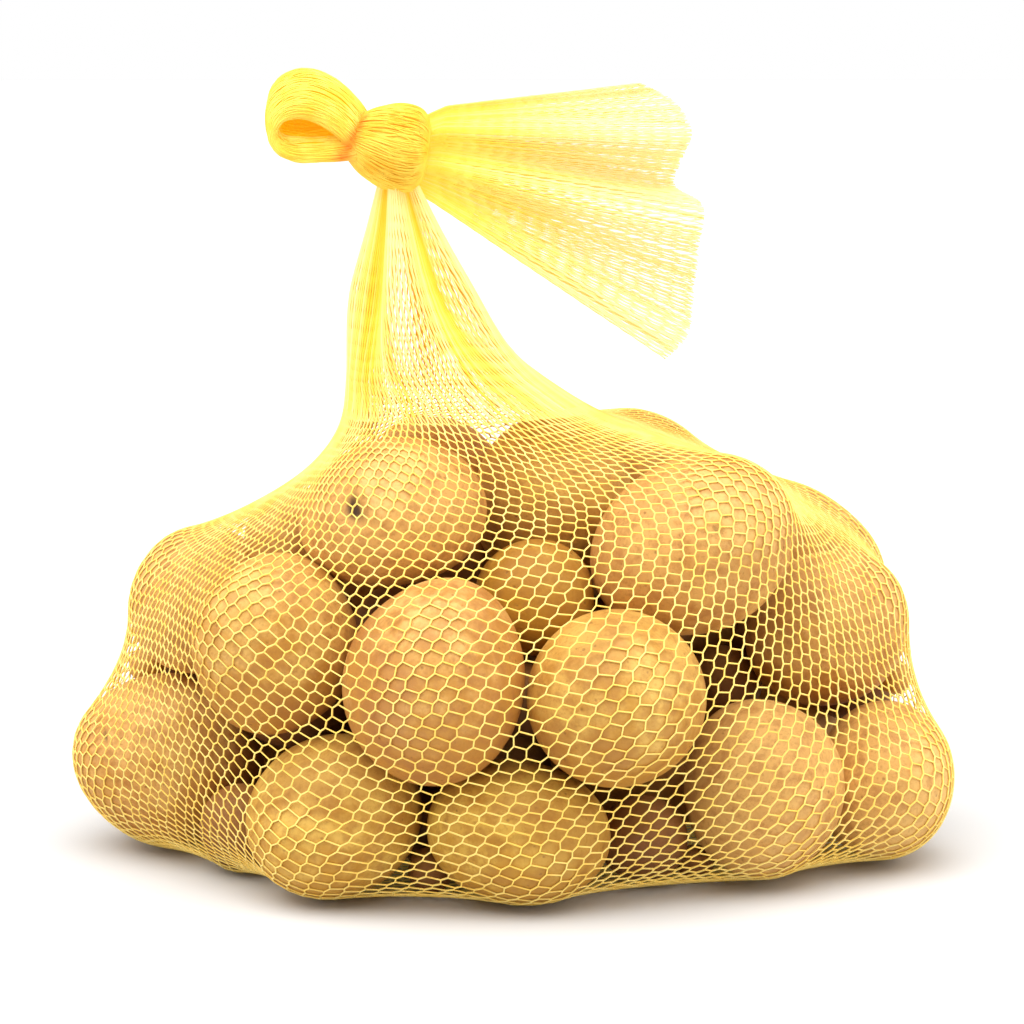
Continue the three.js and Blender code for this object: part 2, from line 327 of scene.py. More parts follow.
@dataclass(frozen=True)
class ThreadFinish:
    """Soft shiny plastic thread in two close yellows, and a third colour where its tone asks for it.

    A small painted glow stands in for the light that thin plastic lets through; the thread is no lamp.
    """

    name: str
    colour: Colour
    deep: Colour
    toned: Colour | None = None
    roughness: float = 0.42
    shine: float = 0.4
    painted_glow: float = 0.06
    drawn: Pattern = Pattern(120, 2, 0.5, (0.35, 0.65))

    def build(self) -> bpy.types.Material:
        """Makes the material.

        Returns:
            The material.
        """
        g = Graph(self.name)
        drawn = self.drawn.lay(g, g.place())
        colour = g.mix(drawn.step(*self.drawn.band), self.colour, self.deep)
        if self.toned:
            colour = g.mix(g.attribute("tone"), colour, self.toned)
        return g.finish(
            {
                "Base Color": colour,
                "Roughness": self.roughness,
                "Specular IOR Level": self.shine,
                # Painted glow: the thread gives off its own colour, which lifts its shaded sides
                "Emission Color": self.colour,
                "Emission Strength": self.painted_glow,
            }
        )


class Finishes:
    """Every finish of the object, made once."""

    def __init__(self) -> None:
        """Makes the materials."""
        self.skin = PotatoSkin().build()
        self.wale = ThreadFinish("wale_thread", (0.96, 0.73, 0.2, 1), (0.94, 0.65, 0.12, 1)).build()
        self.rung = ThreadFinish("rung_thread", (0.95, 0.7, 0.18, 1), (0.93, 0.61, 0.1, 1)).build()
        self.neck = ThreadFinish(
            "neck_thread", (0.97, 0.59, 0.035, 1), (0.97, 0.55, 0.025, 1), (0.97, 0.82, 0.33, 1), painted_glow=0.18
        ).build()
        self.tail = ThreadFinish(
            "tail_thread", (0.97, 0.76, 0.09, 1), (0.97, 0.7, 0.05, 1), (0.97, 0.81, 0.44, 1), painted_glow=0.16
        ).build()
        # Painted shade: deep orange for the fold where the loop leaves the knot
        crease_shade = (0.95, 0.25, 0.006, 1)
        self.loop = ThreadFinish(
            "loop_thread", (0.97, 0.74, 0.11, 1), (0.97, 0.62, 0.045, 1), crease_shade, painted_glow=0.1
        ).build()
        self.knot = ThreadFinish(
            "knot_thread", (0.97, 0.69, 0.08, 1), (0.96, 0.55, 0.028, 1), crease_shade, painted_glow=0.1
        ).build()
        self.core = ThreadFinish(
            "gathered_net", (0.97, 0.58, 0.006, 1), (0.96, 0.5, 0.004, 1), painted_glow=0.25
        ).build()


def new_mesh(name: str, points: Array, faces: list | Array, edges: list | Array = ()) -> bpy.types.Mesh:
    """A mesh from points in millimetres.

    Args:
        name: The mesh's name.
        points: Its points, in the frame of the heap.
        faces: Corners of each face.
        edges: Ends of each loose edge.

    Returns:
        The mesh in metres, in the frame of the part.
    """
    mesh = bpy.data.meshes.new(name)
    places = (np.asarray(points, float).reshape(-1, 3) + FRAME_SHIFT) * MM
    mesh.from_pydata(places.tolist(), np.asarray(edges).tolist(), np.asarray(faces).tolist())
    mesh.update()
    return mesh


def keep_numbers(mesh: bpy.types.Mesh, name: str, values: Array) -> None:
    """Keeps one number for each point of a mesh."""
    attribute = mesh.attributes.new(name, "FLOAT", "POINT")
    attribute.data.foreach_set("value", np.asarray(values, np.float32).ravel())


def smooth_mesh(
    name: str, points: Array, faces: Array, finish: bpy.types.Material, **numbers: Array
) -> bpy.types.Mesh:
    """A smooth mesh with its material.

    Args:
        name: The mesh's name.
        points: Its points, in millimetres.
        faces: Corners of each face.
        finish: Its material.
        numbers: What the material reads at each point, by name.

    Returns:
        The mesh.
    """
    mesh = new_mesh(name, points, faces)
    for kind, values in numbers.items():
        keep_numbers(mesh, kind, values)
    mesh.polygons.foreach_set("use_smooth", np.ones(len(mesh.polygons), bool))
    mesh.materials.append(finish)
    return mesh


def new_object(name: str, data: bpy.types.ID) -> bpy.types.Object:
    """Links a mesh, a lamp or a camera into the scene.

    Args:
        name: The object's name.
        data: What it shows.

    Returns:
        The object.
    """
    made = bpy.data.objects.new(name, data)
    bpy.context.scene.collection.objects.link(made)
    return made


def add_piece(name: str, mesh: bpy.types.Mesh) -> None:
    """Adds one finished piece of the object.

    Args:
        name: The piece's name.
        mesh: Its mesh, in place and with its material.
    """
    piece = new_object(name, mesh)
    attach(piece, BODY_NAME)
    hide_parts(SOLID_NAME)
    mesh.calc_loop_triangles()
    LOG.info("%s: %d triangles", name, len(mesh.loop_triangles))


class ThreadTree:
    """Geometry Nodes that lay a round thread along each line of a mesh."""

    SIDES = 4

    def __init__(self) -> None:
        """Builds the tree once."""
        self.tree = bpy.data.node_groups.new("thread_along_lines", "GeometryNodeTree")
        face = self.tree.interface
        face.new_socket("Lines", in_out="INPUT", socket_type="NodeSocketGeometry")
        self.sides = face.new_socket("Sides", in_out="INPUT", socket_type="NodeSocketInt").identifier
        self.finish = face.new_socket("Finish", in_out="INPUT", socket_type="NodeSocketMaterial").identifier
        face.new_socket("Threads", in_out="OUTPUT", socket_type="NodeSocketGeometry")
        nodes = self.tree.nodes
        start, end = nodes.new("NodeGroupInput"), nodes.new("NodeGroupOutput")
        lines = nodes.new("GeometryNodeMeshToCurve")
        kept = nodes.new("GeometryNodeInputNamedAttribute")
        kept.data_type = "FLOAT"
        kept.inputs["Name"].default_value = "thickness"
        ring = nodes.new("GeometryNodeCurvePrimitiveCircle")
        ring.inputs["Radius"].default_value = 1.0
        sweep = nodes.new("GeometryNodeCurveToMesh")
        sweep.inputs["Fill Caps"].default_value = True
        smooth = nodes.new("GeometryNodeSetShadeSmooth")
        real = nodes.new("GeometryNodeRealizeInstances")
        dress = nodes.new("GeometryNodeSetMaterial")
        links = (
            (start, "Lines", lines, "Mesh"),
            (start, "Sides", ring, "Resolution"),
            (lines, "Curve", sweep, "Curve"),
            (ring, "Curve", sweep, "Profile Curve"),
            (kept, "Attribute", sweep, "Scale"),
            (sweep, "Mesh", smooth, "Geometry"),
            (smooth, "Geometry", real, "Geometry"),
            (real, "Geometry", dress, "Geometry"),
            (start, "Finish", dress, "Material"),
            (dress, "Geometry", end, "Threads"),
        )
        for source, output, target, entry in links:
            self.tree.links.new(source.outputs[output], target.inputs[entry])

    def add(
        self,
        name: str,
        runs: list[Array],
        thickness: list[Array],
        finish: bpy.types.Material,
        tones: list[Array] | None = None,
    ) -> None:
        """Adds a piece of threads that are laid along runs of points.

        Args:
            name: The piece's name.
            runs: Points of each thread, in millimetres.
            thickness: Half the thread's thickness at each point, in millimetres.
            finish: The threads' material.
            tones: How far the colour goes to the finish's third one at each point.
        """
        edges = []
        begun = 0
        for run in runs:
            index = np.arange(begun, begun + len(run) - 1)
            edges.append(np.stack([index, index + 1], 1))
            begun += len(run)
        lines = new_mesh(name + "_lines", np.concatenate(runs), [], np.concatenate(edges))
        keep_numbers(lines, "thickness", np.concatenate(thickness) * MM)
        if tones:
            keep_numbers(lines, "tone", np.concatenate(tones))
        carrier = new_object(name + "_lines", lines)
        modifier = carrier.modifiers.new("threads", "NODES")
        modifier.node_group = self.tree
        modifier[self.sides] = self.SIDES
        modifier[self.finish] = finish
        bpy.context.view_layer.update()
        shown = carrier.evaluated_get(bpy.context.evaluated_depsgraph_get())
        mesh = bpy.data.meshes.new_from_object(shown)
        mesh.name = name
        carrier.modifiers.clear()
        bpy.data.objects.remove(carrier)
        kept = mesh.attributes.get("thickness")
        if kept:
            mesh.attributes.remove(kept)
        add_piece(name, mesh)


def spot(across: Array, up: Array, widths: Pair, size: float) -> Array:
    """A soft oval spot that is 1 at its middle."""
    return np.exp(-((across / (widths[0] * size)) ** 2) - (up / (widths[1] * size)) ** 2)


@dataclass
class Potato:
    """One potato: a lumpy oval with a few eyes, in millimetres.

    The tint goes from pale to ruddy between 0 and 1. Above that the skin is painted dark, as painted shade
    for a potato in a gap.
    """

    middle: Array | Triple
    size: Triple
    tilt: float = 0.0
    yaw: float = 0.0
    # A tint above 1, as this default, is painted shade: the skin goes dark as for a potato in a gap
    tint: float = 1.7
    hidden: bool = False
    gold: float = 0.05
    seen_eyes: tuple[Triple, ...] = ()
    lump_count: int = 6
    lump_depth: float = 0.021
    lump_pitch: Pair = (1.5, 3.6)
    lump_share: float = 0.6
    spare: float = 2.0
    eye_count: tuple[int, int] = (5, 9)
    eye_sizes: Pair = (0.4, 0.9)
    eye_spread: Triple = (1.25, 1, 1)
    eyes_apart: float = 0.78
    eye_reach: float = 0.6
    eye_side: Triple = (1.0, 0.13, 0.21)
    eye_depth: float = 1.1
    pit_widths: Pair = (3.0, 1.9)
    brow_widths: Pair = (3.6, 1.2)
    brow_up: float = 2.4
    brow_height: float = 0.3
    bud_widths: Pair = (2.0, 1.15)
    bud_up: float = 0.3
    bud_bend: float = 0.06
    bud_dark: float = 0.6

    def grow(self, seed: int) -> None:
        """Turns the oval and draws its lumps and eyes.

        Args:
            seed: The seed of its random draws.
        """
        self.middle = np.array(self.middle, float)
        self.half = np.array(self.size, float) / 2
        tilt, yaw = math.radians(self.tilt), math.radians(self.yaw)
        lean = np.array(
            [[math.cos(tilt), 0, math.sin(tilt)], [0, 1, 0], [-math.sin(tilt), 0, math.cos(tilt)]]
        )
        spin = np.array([[math.cos(yaw), -math.sin(yaw), 0], [math.sin(yaw), math.cos(yaw), 0], [0, 0, 1]])
        self.turn = spin @ lean
        draw = np.random.default_rng(seed)
        self.lump_axes = unit(draw.normal(size=(self.lump_count, 3)))
        self.lump_waves = draw.uniform(*self.lump_pitch, self.lump_count)
        self.lump_phases = draw.uniform(0, FULL_TURN, self.lump_count)
        self.eyes = self.place_eyes(draw)
        lumps = self.lump_count * self.lump_depth * self.lump_share
        self.farthest = self.half.max() * (1 + lumps) + self.spare

    def place_eyes(self, draw: np.random.Generator) -> list[tuple[Array, float]]:
        """Places the eyes that show, and a few more that keep apart.

        Args:
            draw: The random draws.

        Returns:
            The direction and size of each eye.
        """
        found = []
        for across, up, size in self.seen_eyes:
            inward = math.sqrt(max(0.0, self.half[1] ** 2 - across**2 - up**2))
            found.append((unit(np.array([across, -inward, up])) @ self.turn, size))
        wanted = len(found) + int(draw.integers(*self.eye_count))
        while len(found) < wanted:
            way = unit(draw.normal(size=3) * np.array(self.eye_spread))
            if all(way @ other < self.eyes_apart for other, _ in found):
                found.append((way, draw.uniform(*self.eye_sizes)))
        return found

    def reach(self, ways: Array) -> Array:
        """How far the potato reaches from its middle.

        Args:
            ways: Unit directions in the potato's own frame, one to a row.

        Returns:
            One distance for each direction.
        """
        oval = 1 / np.linalg.norm(ways / self.half, axis=1)
        waves = np.sin(ways @ self.lump_axes.T * self.lump_waves + self.lump_phases)
        return oval * (1 + self.lump_depth * waves.sum(1))

    def reach_towards(self, way: Array) -> float:
        """How far the plain oval reaches in one direction of the heap's frame."""
        return float(1 / np.linalg.norm((way @ self.turn) / self.half))

    def surface(self, ways: Array) -> tuple[Array, Array]:
        """The skin with its eyes.

        Args:
            ways: Unit directions in the potato's own frame.

        Returns:
            Points in the heap's frame, and how far each belongs to an eye.
        """
        distance = self.reach(ways)
        dark = np.zeros(len(ways))
        for eye, size in self.eyes:
            side = unit(np.cross(eye, np.array(self.eye_side)))
            near = ways @ eye > self.eye_reach
            s = ways @ side * self.half.mean()
            t = ways @ np.cross(side, eye) * self.half.mean()
            pit = spot(s, t, self.pit_widths, size) * near
            brow = spot(s, t - self.brow_up * size, self.brow_widths, size) * near
            distance = distance - self.eye_depth * size * pit + self.brow_height * size * brow
            bud = spot(s, t - self.bud_up - self.bud_bend * s**2, self.bud_widths, size) * near
            dark = np.maximum(dark, bud * min(1.0, self.bud_dark * size))
        return self.middle + (ways * distance[:, None]) @ self.turn.T, dark


def ball_grid(steps: int) -> tuple[Array, Array]:
    """An even grid over a ball.

    Args:
        steps: Faces along each edge of the cube that is blown up.

    Returns:
        Unit directions, and the corners of each face.
    """
    line = np.tan(np.linspace(-1, 1, steps + 1) * math.pi / 4)
    a, b = np.meshgrid(line, line, indexing="ij")
    one = np.ones_like(a)
    sheets = [(one, a, b), (-one, b, a), (b, one, a), (a, -one, b), (a, b, one), (b, a, -one)]
    ways, faces = [], []
    index = np.arange((steps + 1) ** 2).reshape(steps + 1, steps + 1)
    quads = np.stack([index[:-1, :-1], index[1:, :-1], index[1:, 1:], index[:-1, 1:]], -1).reshape(-1, 4)
    for number, sheet in enumerate(sheets):
        ways.append(unit(np.stack(sheet, -1).reshape(-1, 3)))
        faces.append(quads + number * (steps + 1) ** 2)
    ways, faces = np.concatenate(ways), np.concatenate(faces)
    _, first, back = np.unique(np.round(ways, 6), axis=0, return_index=True, return_inverse=True)
    return ways[first], back.reshape(-1)[faces]


@dataclass
class Heap:
    """All the potatoes, in three layers, with small ones that close the gaps between them and are painted
    dark as shade.
    """

    net_thickness: float = 0.8
    rounds: int = 80
    share: float = 0.5
    # Painted light and shade: the tint is lowered on the tops and raised on the undersides, so tops look
    # paler and undersides browner
    painted_light_from_above: float = 0.26
    fine_steps: int = 29
    coarse_steps: int = 10
    first_seed: int = 11
    seed_step: int = 7

    def __post_init__(self) -> None:
        """Lays the potatoes and eases them apart."""
        lower = [
            Potato((1, -58, 23), (54, 50, 44), 4, 5, 0.5, gold=1.0),
            Potato((-52, -50, 26), (53, 52, 49), -8, 0, 0.45, gold=0.8),
            Potato((-109, 8, 28), (62, 54, 53), 14, 10, 0.5, gold=0.0, seen_eyes=((-18, 11, 1.2),)),
            Potato((77, -34, 31), (51, 50, 54), -12, 0, -0.15),
            Potato((117, -9, 26), (44, 54, 50), 6, 0, -0.25),
            Potato((38, 3, 25), (50, 48, 47), 0, 30, 0.9),
            Potato((-78, 58, 27), (54, 50, 52), 5, -15, 0.35),
            Potato((-24, 62, 26), (52, 52, 50), 0, 20, 0.7),
            Potato((30, 60, 26), (54, 50, 50), -6, 0, 0.2),
            Potato((87, 54, 27), (54, 50, 52), 4, 25, 0.5),
        ]
        lower += self.unseen((-54, 7, 24, 44, 46, 46), (-10, 6, 24, 44, 46, 46))
        middle = [
            Potato((-22, -62, 71), (53, 54, 62), 4, 0, 0.68, gold=0.0),
            Potato((30, -62, 65), (53, 52, 53), 16, 0, 0.5, gold=0.55),
            Potato((-71.5, -40, 76), (49, 52, 54), 12, 0, 0.55, gold=0.3),
            Potato((101, 5, 71), (52, 44, 50), -8, 0, 0.35),
            Potato((-100, 12, 78), (46, 50, 48), 10, 0, -0.15),
            Potato((-60, 40, 70), (50, 48, 46), 0, 20, 0.8),
            Potato((-8, 38, 68), (50, 48, 46), 6, 0, 0.3),
            Potato((48, 42, 66), (50, 48, 46), 0, -20, 0.6),
        ]
        middle += self.unseen(
            (-34, -8, 67, 44, 44, 42), (8, 8, 58, 38, 36, 36), (33, 12, 80, 33, 32, 31),
            (-78, 8, 52, 40, 38, 36), (69, 16, 56, 25, 24, 24), (80, 22, 88, 36, 32, 36),
            (74, 24, 68, 21, 21, 22), (-9, 12, 97, 22, 22, 22), (24, 10, 86, 18, 18, 18),
            (103, 30, 50, 28, 26, 28), (-100, 34, 52, 28, 26, 28), (-68, 6, 99, 36, 34, 34, 0.3),
            (-26, -30, 16, 30, 28, 28), (41, -38, 15, 28, 26, 26), (-82, -22, 15, 28, 28, 26),
        )
        upper = [
            Potato((-36, -26, 113.5), (58, 52, 46), -14, 0, -0.12, seen_eyes=((-12, 5.8, 2.5), (9, 8, 0.6))),
            Potato((-26, 34, 113), (46, 48, 46), 0, 0, 0.4),
            Potato((14, 8, 112), (48, 50, 54), 8, 0, 0.3, gold=0.6),
            Potato((54, -28, 104), (63, 52, 52), -22, 0, 0.12, seen_eyes=((6, 9, 1.1), (-12, -4, 0.5))),
            Potato((8.4, -30, 88.6), (37, 36, 35), 0, 0, 0.75, gold=1.0),
            Potato((90, 46, 89.5), (64, 44, 44), 28, 0, 0.1),
            Potato((40, 46, 112), (52, 48, 46), 10, 0, 0.25),
        ]
        small = self.unseen(
            (42, -22, 59, 30, 29, 29), (-72, 2, 20, 13, 12, 12), (4, 47, 100, 25, 24, 24),
            (-86, 25, 52, 18, 17, 17), (60, 29, 33, 22, 21, 21), (-59, 9, 77, 16, 15, 15),
            (-63, -12, 27, 23, 22, 22), (3, -36, 58, 24, 23, 23), (-26, -24, 39, 24, 23, 23),
            (-48, 22, 96, 15, 14, 14), (81, 11, 24, 30, 29, 29), (60, 12, 76, 10, 9, 9),
            (-26, -50, 8, 14, 14, 14), (56, -34, 7, 12, 11, 11), (26, -3, 89, 9, 9, 9),
            (-118, 26, 55, 12, 12, 12, 0.2), (122, 16, 54, 11, 11, 11, 0.2),
        )
        self.layers = {"potatoes_lower": lower, "potatoes_middle": middle + small, "potatoes_upper": upper}
        self.potatoes = lower + middle + upper + small
        for number, potato in enumerate(self.potatoes):
            potato.grow(self.first_seed + self.seed_step * number)
        self.settle()

    @staticmethod
    def unseen(*rows: tuple[float, ...]) -> list[Potato]:
        """Potatoes in the gaps, painted dark as shade, from rows of middle, size and, for one that isn't
        painted dark, tint.
        """
        return [Potato(row[:3], row[3:6], 0, 0, *row[6:], hidden=True) for row in rows]

    def settle(self) -> None:
        """Potatoes that overlap are eased apart, and none lies below the net on the floor."""
        down = np.array([0.0, 0.0, -1.0])
        for _ in range(self.rounds):
            for number, first in enumerate(self.potatoes):
                for second in self.potatoes[number + 1 :]:
                    between = second.middle - first.middle
                    distance = float(np.linalg.norm(between))
                    between = between / distance
                    wanted = first.reach_towards(between) + second.reach_towards(-between)
                    if distance < wanted:
                        move = between * (wanted - distance) * self.share
                        give = 0.5 + 0.5 * (first.hidden - second.hidden)
                        first.middle = first.middle - move * give
                        second.middle = second.middle + move * (1 - give)
                lowest = first.reach_towards(down) + self.net_thickness
                first.middle[2] = max(first.middle[2], lowest)
        ways = ball_grid(self.fine_steps)[0]
        for potato in self.potatoes:
            lowest = potato.surface(ways)[0][:, 2].min()
            potato.middle[2] += max(0.0, self.net_thickness - lowest)

    def push_out(self, points: Array, before: Array, margin: float, grip: float) -> Array:
        """Brings points that lie in a potato out to its skin.

        Args:
            points: Points of the net, one to a row.
            before: Where they were before this move.
            margin: How far from the skin they stay.
            grip: How strongly the skin holds them.

        Returns:
            The points after the push.
        """
        points = points.copy()
        for potato in self.potatoes:
            offset = points - potato.middle
            near = np.nonzero((offset**2).sum(1) < (potato.farthest + margin) ** 2)[0]
            if not len(near):
                continue
            local = offset[near] @ potato.turn
            distance = np.linalg.norm(local, axis=1)
            ways = local / np.maximum(distance, 1e-9)[:, None]
            wanted = potato.reach(ways) + margin
            inside = distance < wanted
            if not inside.any():
                continue
            rows = near[inside]
            skin = potato.middle + (ways[inside] * wanted[inside, None]) @ potato.turn.T
            press = skin - points[rows]
            depth = np.linalg.norm(press, axis=1, keepdims=True)
            normal = press / np.maximum(depth, 1e-9)
            slide = skin - before[rows]
            slide = slide - (slide * normal).sum(1, keepdims=True) * normal
            slid = np.linalg.norm(slide, axis=1, keepdims=True)
            held = np.minimum(1.0, grip * depth / np.maximum(slid, 1e-9))
            points[rows] = skin - slide * held
        return points

    def build(self, finish: bpy.types.Material) -> None:
        """Adds the potatoes, one piece for each layer.

        Args:
            finish: Their material.
        """
        fine, coarse = ball_grid(self.fine_steps), ball_grid(self.coarse_steps)
        for name, layer in self.layers.items():
            points, faces, eyes, tints_with_painted_light, golds = [], [], [], [], []
            begun = 0
            for potato in layer:
                ways, quads = coarse if potato.hidden else fine
                skin, dark = potato.surface(ways)
                points.append(skin)
                faces.append(quads + begun)
                eyes.append(dark)
                # Painted light and shade: paler tops and browner undersides, by how far each point of the
                # skin faces up
                tints_with_painted_light.append(potato.tint - self.painted_light_from_above * (ways @ potato.turn.T)[:, 2])
                golds.append(np.full(len(skin), potato.gold))
                begun += len(skin)
            numbers = {"eye": eyes, "tint": tints_with_painted_light, "gold": golds}
            numbers = {kind: np.concatenate(values) for kind, values in numbers.items()}
            mesh = smooth_mesh(name, np.concatenate(points), np.concatenate(faces), finish, **numbers)
            add_piece(name, mesh)


@dataclass
class Neck:
    """The gathered part of the net between the potatoes and the knot."""

    heights: tuple[float, ...] = (143, 152, 163.5, 180, 198, 212)
    middles: tuple[float, ...] = (-14, -20.5, -26, -30.2, -33, -34.8)
    half_across: tuple[float, ...] = (38, 30.8, 24, 17.4, 10.4, 5.6)
    half_deep: tuple[float, ...] = (28, 24, 20.5, 15.5, 8.6, 5.6)
    pleats: int = 5
    pleat_share: float = 0.2
    pleat_crest: float = math.radians(-99)
    pleat_from: float = 150.0
    pleat_full: float = 186.0
    pleat_rest: float = 0.25
    folds: tuple[Triple, ...] = ((0.35, 3, 0.6), (0.2, 13, 2.0))

    def ring(self, angles: Array, share: float) -> Array:
        """One ring of the neck without its pleats.

        Args:
            angles: Angles round the neck.
            share: Height from 0 at the potatoes to 1 at the knot.

        Returns:
            One point for each angle.
        """
        stations = np.array([self.heights, self.middles, self.half_across, self.half_deep]).T
        height, middle, across, deep = spline(stations, share)[0]
        return np.stack(
            [middle + across * np.cos(angles), deep * np.sin(angles), np.full_like(angles, height)], -1
        )

    def phase(self, angles: Array) -> Array:
        """How far angles round the neck are from the crests of its pleats."""
        return self.pleats * (angles - self.pleat_crest)

    def pleat(self, points: Array, centres: Array, angles: Array) -> Array:
        """Presses pleats into points of the neck.

        Args:
            points: Points of the neck.
            centres: The middle of the neck at each point's height.
            angles: Each point's angle round the neck.

        Returns:
            The pleated points.
        """
        fade = smooth_step(points[..., 2], self.pleat_from, self.pleat_full)[..., None]
        wave = np.cos(self.phase(angles))
        for height, count, shift in self.folds:
            wave = wave + height * np.cos(count * angles + shift)
        outward = (points - centres) * np.array([1, 1, 0])
        return points + outward * (self.pleat_share * fade * (wave[..., None] - self.pleat_rest))


@dataclass
class Film:
    """The net as one taut skin over the potatoes, which the threads are laid on."""

    heap: Heap
    neck: Neck
    columns: int = 64
    body_rows: int = 34
    neck_rows: int = 10
    along: float = 1.0
    around: float = 1.5
    filling: float = 0.2
    filling_eases: Pair = (0.58, 0.8)
    grip: float = 0.7
    rounds: int = 520
    slack: Triple = (152, 106, 152)
    floor_share: float = 0.3
    shoulder_share: float = 0.78
    seam_half: float = 84.0

    def slack_net(self) -> Array:
        """The loose net: from its bottom seam along the floor, up the sides and in to the neck.

        Returns:
            Points by row and column.
        """
        angles = np.arange(self.columns) / self.columns * FULL_TURN
        fold = 1 - 2 * np.abs((angles / FULL_TURN + 0.5) % 1 - 0.5) * 2
        seam = np.stack([fold * self.seam_half, 0 * fold, 0 * fold], -1)
        edge = np.stack(
            [self.slack[0] * np.cos(angles), self.slack[1] * np.sin(angles), 0 * angles], -1
        )
        shoulder = edge + np.array([0, 0, self.slack[2]])
        mouth = self.neck.ring(angles, 0.0)
        rows = []
        for row in range(self.body_rows + self.neck_rows + 1):
            share = row / self.body_rows
            if share > 1:
                rows.append(self.neck.ring(angles, (row - self.body_rows) / self.neck_rows))
            elif share <= self.floor_share:
                rows.append(seam + (edge - seam) * (share / self.floor_share))
            elif share <= self.shoulder_share:
                step = (share - self.floor_share) / (self.shoulder_share - self.floor_share)
                rows.append(edge + (shoulder - edge) * step)
            else:
                step = (share - self.shoulder_share) / (1 - self.shoulder_share)
                rows.append(shoulder + (mouth - shoulder) * step)
        return np.array(rows)

    def tighten(self) -> Array:
        """Draws the net tight over the potatoes.

        Returns:
            Points by row and column.
        """
        net = self.slack_net()
        body = slice(1, self.body_rows)
        share = np.arange(1, self.body_rows) / self.body_rows
        swell = self.filling * (1 - smooth_step(share, *self.filling_eases))[:, None, None]
        for _ in range(self.rounds):
            for parity in (0, 1):
                left, right = np.roll(net, 1, 1)[body], np.roll(net, -1, 1)[body]
                down, up = net[: self.body_rows - 1], net[2 : self.body_rows + 1]
                pulled = self.along * (up + down) + self.around * (left + right)
                pulled = pulled / (2 * (self.along + self.around))
                pulled = pulled + swell * unit(np.cross(right - left, up - down))
                before = net[body].reshape(-1, 3)
                moved = self.heap.push_out(pulled.reshape(-1, 3), before, self.heap.net_thickness, self.grip)
                moved[:, 2] = np.maximum(moved[:, 2], 0)
                moved = moved.reshape(pulled.shape)
                rows, columns = np.indices(pulled.shape[:2])
                chosen = ((rows + columns) % 2 == parity)[..., None]
                net[body] = np.where(chosen, moved, net[body])
        return net

    def sample(self, net: Array, turn: Array, row: Array) -> Array:
        """Points between the film's own points.

        Args:
            net: The film's points.
            turn: Places round the net, in whole turns.
            row: Places up the net, in rows of the film.

        Returns:
            One point for each place.
        """

        def weights(t: Array) -> list[Array]:
            """Shares of the four nearest points."""
            return [
                0.5 * (-t + 2 * t**2 - t**3),
                0.5 * (2 - 5 * t**2 + 3 * t**3),
                0.5 * (t + 4 * t**2 - 3 * t**3),
                0.5 * (-(t**2) + t**3),
            ]

        column = turn * self.columns
        first_column, first_row = np.floor(column).astype(int), np.floor(row).astype(int)
        across, upward = weights(column - first_column), weights(row - first_row)
        found = np.zeros(turn.shape + (3,))
        for i in range(4):
            rows = np.clip(first_row + i - 1, 0, len(net) - 1)
            for j in range(4):
                columns = (first_column + j - 1) % self.columns
                found += net[rows, columns] * (upward[i] * across[j])[..., None]
        return found


